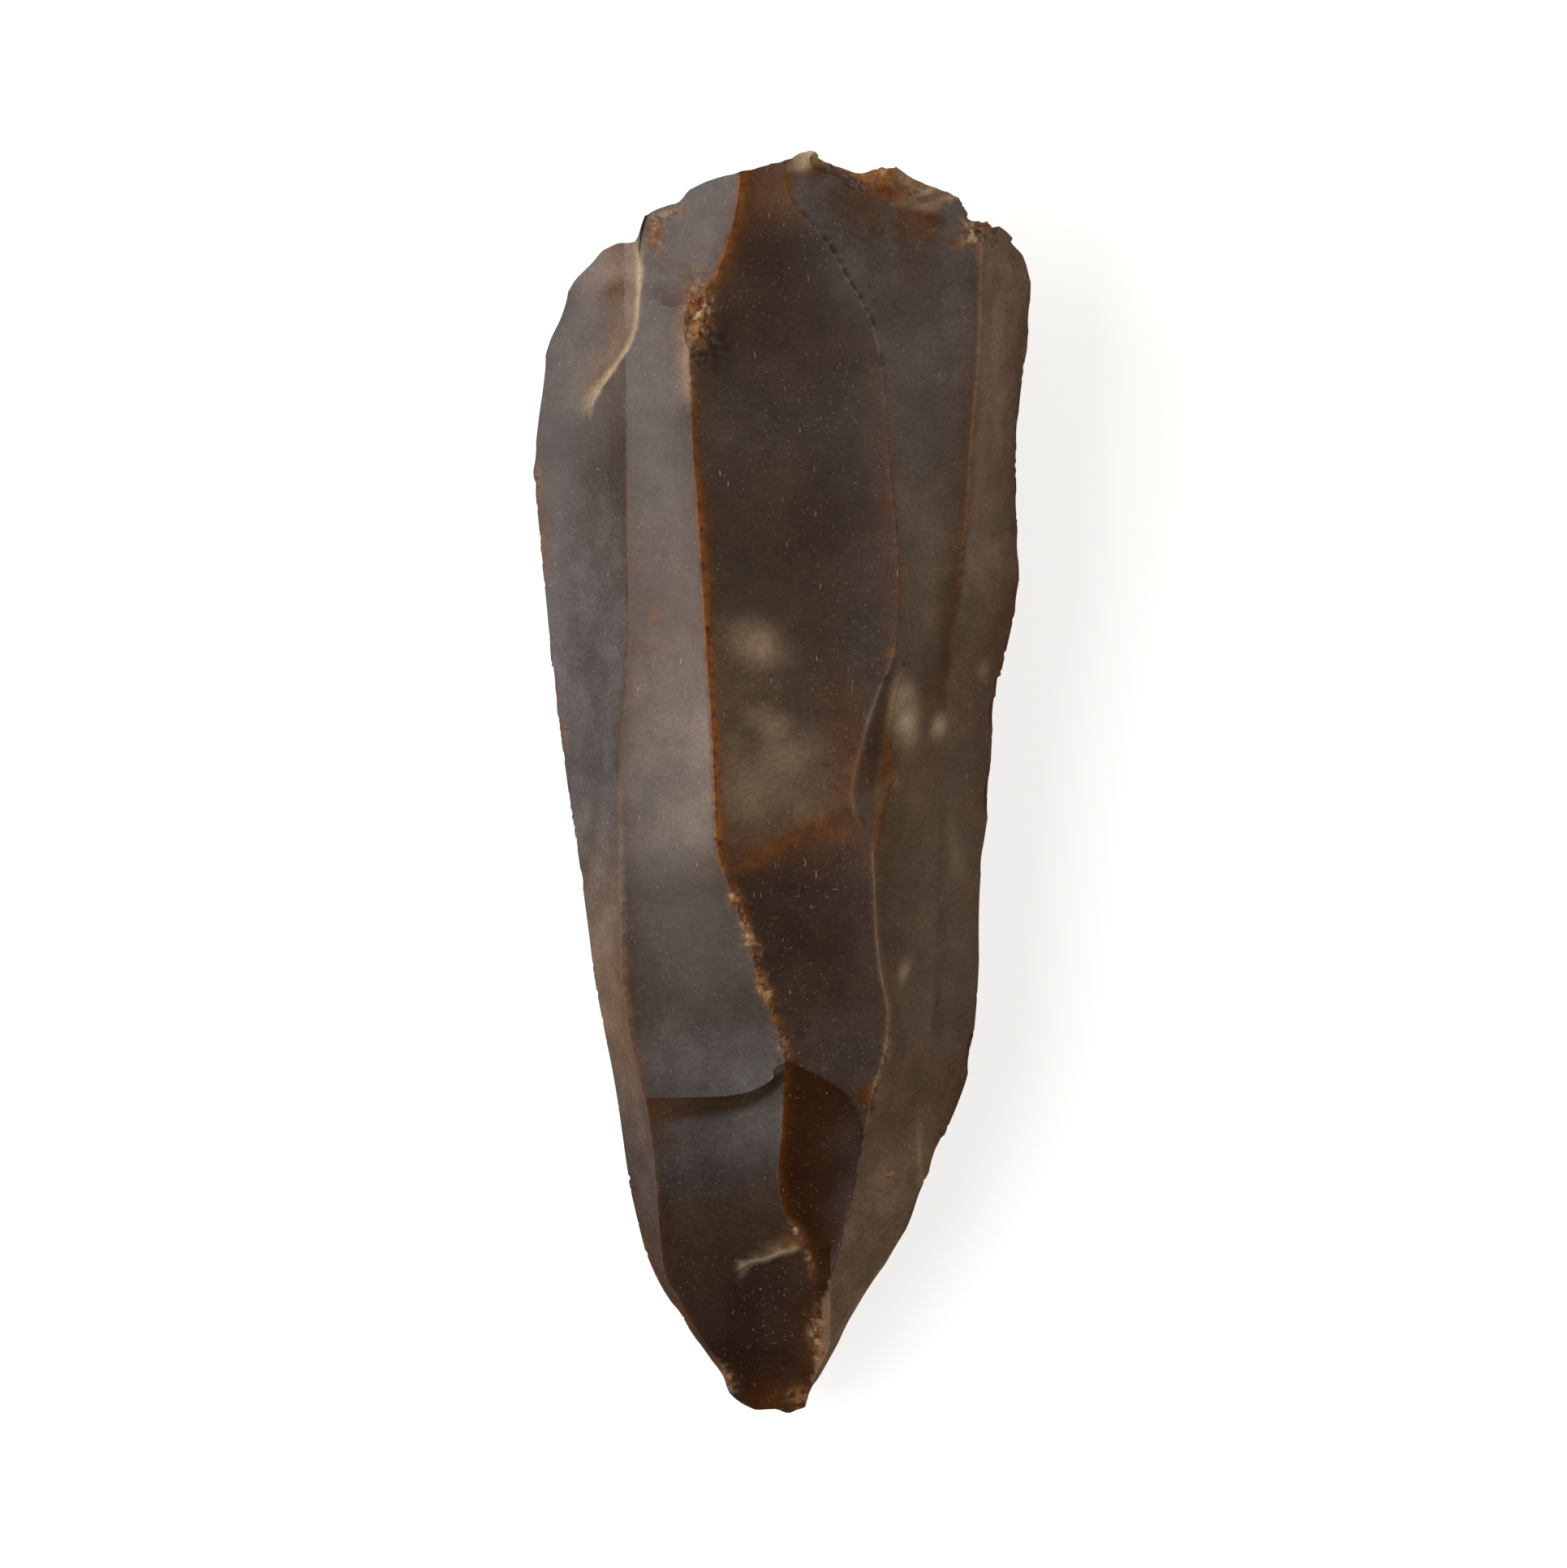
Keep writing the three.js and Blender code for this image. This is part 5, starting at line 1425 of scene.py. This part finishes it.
# Pale streaks: degrees from the stone's length, scale, share of the cells that have one, strength.
STREAKS = [(-14, 1750, 0.13, 0.8), (38, 1600, 0.11, 0.8), (-62, 1650, 0.09, 0.7)]
STREAK_SHAPE = (1.0, 0.2, 1.0)
HAIRLINE_SHAPE = (1.0, 0.12, 1.0)
RAGGEDNESS = 0.0004

# The flint's surface: refraction, gloss, roughness and what is added to it, and height of the bumps.
FLINT_IOR = 1.54
FLINT_GLOSS = 0.26
ROUGHNESS = 0.30
ROUGHNESS_GRAIN = 0.12
RUST_ROUGHNESS = 0.20
CRUSHED_ROUGHNESS = 0.25
BUMP_STRENGTH = 0.3
BUMP_HEIGHT = 0.0001


def pale_flecks(shading, scratched):
    """Fine pale dots and short hairlines that lie in several directions."""
    times, larger, specks, turned = shading.times, shading.larger, shading.specks, shading.turned
    wander = shading.ragged(420, RAGGEDNESS)
    dots = times(specks(3300, 0.30, 0.26), 0.55)
    flecks = larger(dots, times(specks(1100, 0.12, 0.045, wander), 0.8))
    for turn, scale, share, strength in STREAKS:
        streaks = specks(scale, 0.13, share, turned(turn, STREAK_SHAPE, wander))
        flecks = larger(flecks, times(streaks, strength))
    gathered = shading.ramp(shading.grain(130, 2), 0.34, 0.6)
    flecks = times(flecks, shading.plus(times(gathered, 0.7), 0.3))
    hairlines = specks(2100, 0.2, 0.5, turned(-55, HAIRLINE_SHAPE, wander))
    return larger(flecks, times(times(hairlines, scratched), 0.5))


def flint_colour(shading, rust, soot, scratched):
    """The flint's own clouds, dark specks and pale flecks, which rust and soot hide."""
    colour = shading.attribute("tone", "Color")
    for row in MOTTLING:
        colour = shading.mottle(colour, *row)
    dark = shading.specks(1000, 0.24, 0.10, shading.ragged(900, RAGGEDNESS))
    colour = shading.blend(shading.times(dark, 0.7), colour, DEEP_RUST)
    hidden = shading.larger(soot, shading.times(rust, 0.7))
    clean = shading.larger(shading.maths("SUBTRACT", 1.0, hidden), 0.0)
    return shading.blend(shading.times(pale_flecks(shading, scratched), clean), colour, FLECK)


def with_rust(shading, colour, rust):
    """The colour with broken-up rust and its dark dots over it, and the share that rust covers."""
    times = shading.times
    broken_up = shading.ramp(shading.grain(1500, 4), 0.3, 0.6)
    share = times(rust, shading.plus(times(broken_up, 0.5), 0.7))
    share = shading.maths("MINIMUM", share, 1.0)
    rusty = shading.blend(shading.ramp(shading.grain(1000, 3), 0.34, 0.58), DEEP_RUST, RUST)
    colour = shading.blend(share, colour, rusty)
    dots = times(shading.specks(1700, 0.42, 0.5), shading.ramp(rust, 0.3, 0.75))
    return shading.blend(times(dots, 1.1), colour, SOOT), share


def with_rubble(shading, colour, crushed, rubble):
    """The colour with the golden and chalky crumbs of crushed stone over it."""
    chalky = shading.ramp(shading.grain(1200, 3), 0.52, 0.64)
    crumbs = shading.blend(chalky, shading.blend(rubble, DEEP_RUST, GOLD), CHALK_AND_HIGHLIGHT)
    return shading.blend(shading.times(crushed, 0.9), colour, crumbs)


def with_soot(shading, colour, soot):
    times = shading.times
    patchy = shading.ramp(shading.grain(1500, 3), 0.44, 0.54)
    share = times(soot, shading.plus(times(patchy, 0.8), 0.2))
    colour = shading.blend(share, colour, SOOT)
    dots = times(shading.specks(1500, 0.45, 0.6), shading.ramp(soot, 0.1, 0.45))
    return shading.blend(times(dots, 1.3), colour, SOOT)


def roughness(shading, rust_share, crushed):
    times, plus = shading.times, shading.plus
    rough = plus(times(shading.grain(700, 3), ROUGHNESS_GRAIN), ROUGHNESS)
    rough = plus(rough, times(rust_share, RUST_ROUGHNESS))
    return shading.maths("ADD", rough, times(crushed, CRUSHED_ROUGHNESS), clamp=True)


def bumps(shading, crushed, rubble):
    """Fine and wide unevenness of the surface, and the crumbs where it is crushed."""
    times, plus = shading.times, shading.plus
    height = plus(times(shading.grain(2200, 4), 0.35), times(shading.grain(450, 3), 0.6))
    height = plus(height, times(crushed, times(rubble, 1.6)))
    bump = shading.node("ShaderNodeBump", Strength=BUMP_STRENGTH, Distance=BUMP_HEIGHT)
    shading.link(height, bump.inputs["Height"])
    return bump.outputs[0]


def stone_material():
    shading = Shading("flint")
    names = ("rust", "crushed", "soot", "scratched")
    rust, crushed, soot, scratched = (shading.attribute(name) for name in names)
    rubble = shading.ramp(shading.grain(1700, 4), 0.38, 0.6)
    colour = flint_colour(shading, rust, soot, scratched)
    colour, rust_share = with_rust(shading, colour, rust)
    colour = with_rubble(shading, colour, crushed, rubble)
    colour = with_soot(shading, colour, soot)
    shader = shading.node("ShaderNodeBsdfPrincipled", IOR=FLINT_IOR)
    shader.inputs["Specular IOR Level"].default_value = FLINT_GLOSS
    shading.link(colour, shader.inputs["Base Color"])
    shading.link(roughness(shading, rust_share, crushed), shader.inputs["Roughness"])
    shading.link(bumps(shading, crushed, rubble), shader.inputs["Normal"])
    output = shading.node("ShaderNodeOutputMaterial")
    shading.link(shader.outputs[0], output.inputs["Surface"])
    return shading.material


SHARP_ANGLE = 11  # degrees between two faces from which the edge between them stays sharp


def over_the_solid(points):
    """The points in metres, moved over the middle of the solid's box and down to its foot."""
    low, high = (np.array(corner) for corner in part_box(NODE))
    placed = points * MM
    middle = (placed.min(0) + placed.max(0)) / 2
    placed[:, :2] += ((low + high) / 2 - middle)[:2]
    placed[:, 2] += low[2] - placed[:, 2].min()
    return placed


def dress_stone():
    points, triangles = carved_stone()
    tone, shares = looks_at(points, triangles)
    stone = mesh_object("flint_core", over_the_solid(points), triangles)
    mesh = stone.data
    layer = mesh.attributes.new("tone", "FLOAT_COLOR", "POINT")
    colours = np.concatenate([tone, np.ones((len(tone), 1))], axis=1)
    layer.data.foreach_set("color", colours.astype(np.float32).ravel())
    for name, values in shares.items():
        layer = mesh.attributes.new(name, "FLOAT", "POINT")
        layer.data.foreach_set("value", values.astype(np.float32))
    mesh.shade_smooth()
    mesh.set_sharp_from_angle(angle=math.radians(SHARP_ANGLE))
    mesh.materials.append(stone_material())
    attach(stone, "root")
    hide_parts(NODE)


# The pale sheet that the stone lies on: half its side in metres, and its looks.
FLOOR_HALF = 3.0
FLOOR_COLOUR = (0.45, 0.45, 0.45)
FLOOR_GLOW = 0.76
FLOOR_ROUGHNESS = 0.9
FLOOR_GLOSS = 0.2


def floor_material():
    material = bpy.data.materials.new("floor")
    material.use_nodes = True
    shader = material.node_tree.nodes["Principled BSDF"]
    shader.inputs["Base Color"].default_value = (*FLOOR_COLOUR, 1)
    shader.inputs["Roughness"].default_value = FLOOR_ROUGHNESS
    shader.inputs["Specular IOR Level"].default_value = FLOOR_GLOSS
    shader.inputs["Emission Color"].default_value = (1, 1, 1, 1)
    shader.inputs["Emission Strength"].default_value = FLOOR_GLOW
    return material


def add_floor():
    half = FLOOR_HALF
    corners = [(-half, -half, 0), (half, -half, 0), (half, half, 0), (-half, half, 0)]
    mesh = bpy.data.meshes.new("floor")
    mesh.from_pydata(corners, [], [(0, 1, 2, 3)])
    mesh.materials.append(floor_material())
    floor = bpy.data.objects.new("floor", mesh)
    floor.visible_glossy = False
    bpy.context.scene.collection.objects.link(floor)


WARM_LIGHT = (1.0, 0.90, 0.74)
WORLD_LIGHT = 0.08
# Soft boxes: name, direction to it, distance and sides in metres, radiance, colour.
SOFT_BOXES = [
    ("left_box", (-0.775, 0.06, 0.63), 0.42, (0.466, 0.6), 3.5, (1, 1, 1)),
    ("right_box", (0.62, 0.05, 0.78), 0.46, (0.18, 0.5), 1.15, WARM_LIGHT),
    ("low_right_box", (0.93, -0.1, 0.37), 0.46, (0.2, 0.5), 1.2, WARM_LIGHT),
    ("far_box", (-0.15, 0.9, 0.42), 0.5, (0.5, 0.22), 0.8, WARM_LIGHT),
]


def add_lights():
    for name, direction, distance, sides, radiance, colour in SOFT_BOXES:
        light = bpy.data.lights.new(name, "AREA")
        light.color = colour
        light.shape = "RECTANGLE"
        light.size, light.size_y = sides
        light.energy = radiance * sides[0] * sides[1] * math.pi
        lamp = bpy.data.objects.new(name, light)
        bpy.context.scene.collection.objects.link(lamp)
        towards = Vector(direction).normalized()
        lamp.location = towards * distance + Vector((0, 0, THICKNESS / 2 * MM))
        lamp.rotation_euler = towards.to_track_quat("Z", "Y").to_euler()
        lamp.visible_camera = False
    world = bpy.data.worlds.new("studio")
    world.use_nodes = True
    background = world.node_tree.nodes["Background"]
    background.inputs["Color"].default_value = (*WARM_LIGHT, 1)
    background.inputs["Strength"].default_value = WORLD_LIGHT
    bpy.context.scene.world = world
    bpy.context.scene.view_settings.view_transform = "Standard"


# The photograph's frame: its width in pixels, the stone's length in it, and where its middle falls.
PHOTO_WIDTH = 1931
PHOTO_STONE_LENGTH = 1558
PHOTO_MIDDLE = (0.154, -0.04)
LENS = 900
SENSOR = 36
CLIPPING = (0.01, 10)
FRAME_HEIGHT = 16  # at which the frame is measured


def add_camera():
    """A camera far above the stone, so that it is seen as in the photograph with hardly any depth."""
    across = LENGTH * PHOTO_WIDTH / PHOTO_STONE_LENGTH
    away = across * LENS / SENSOR
    camera = bpy.data.cameras.new("camera")
    camera.lens = LENS
    camera.sensor_width = SENSOR
    camera.clip_start, camera.clip_end = CLIPPING
    viewer = bpy.data.objects.new("camera", camera)
    viewer.location = Vector((PHOTO_MIDDLE[0], PHOTO_MIDDLE[1], FRAME_HEIGHT + away)) * MM
    bpy.context.scene.collection.objects.link(viewer)
    bpy.context.scene.camera = viewer


add_camera()
add_floor()
add_lights()
dress_stone()
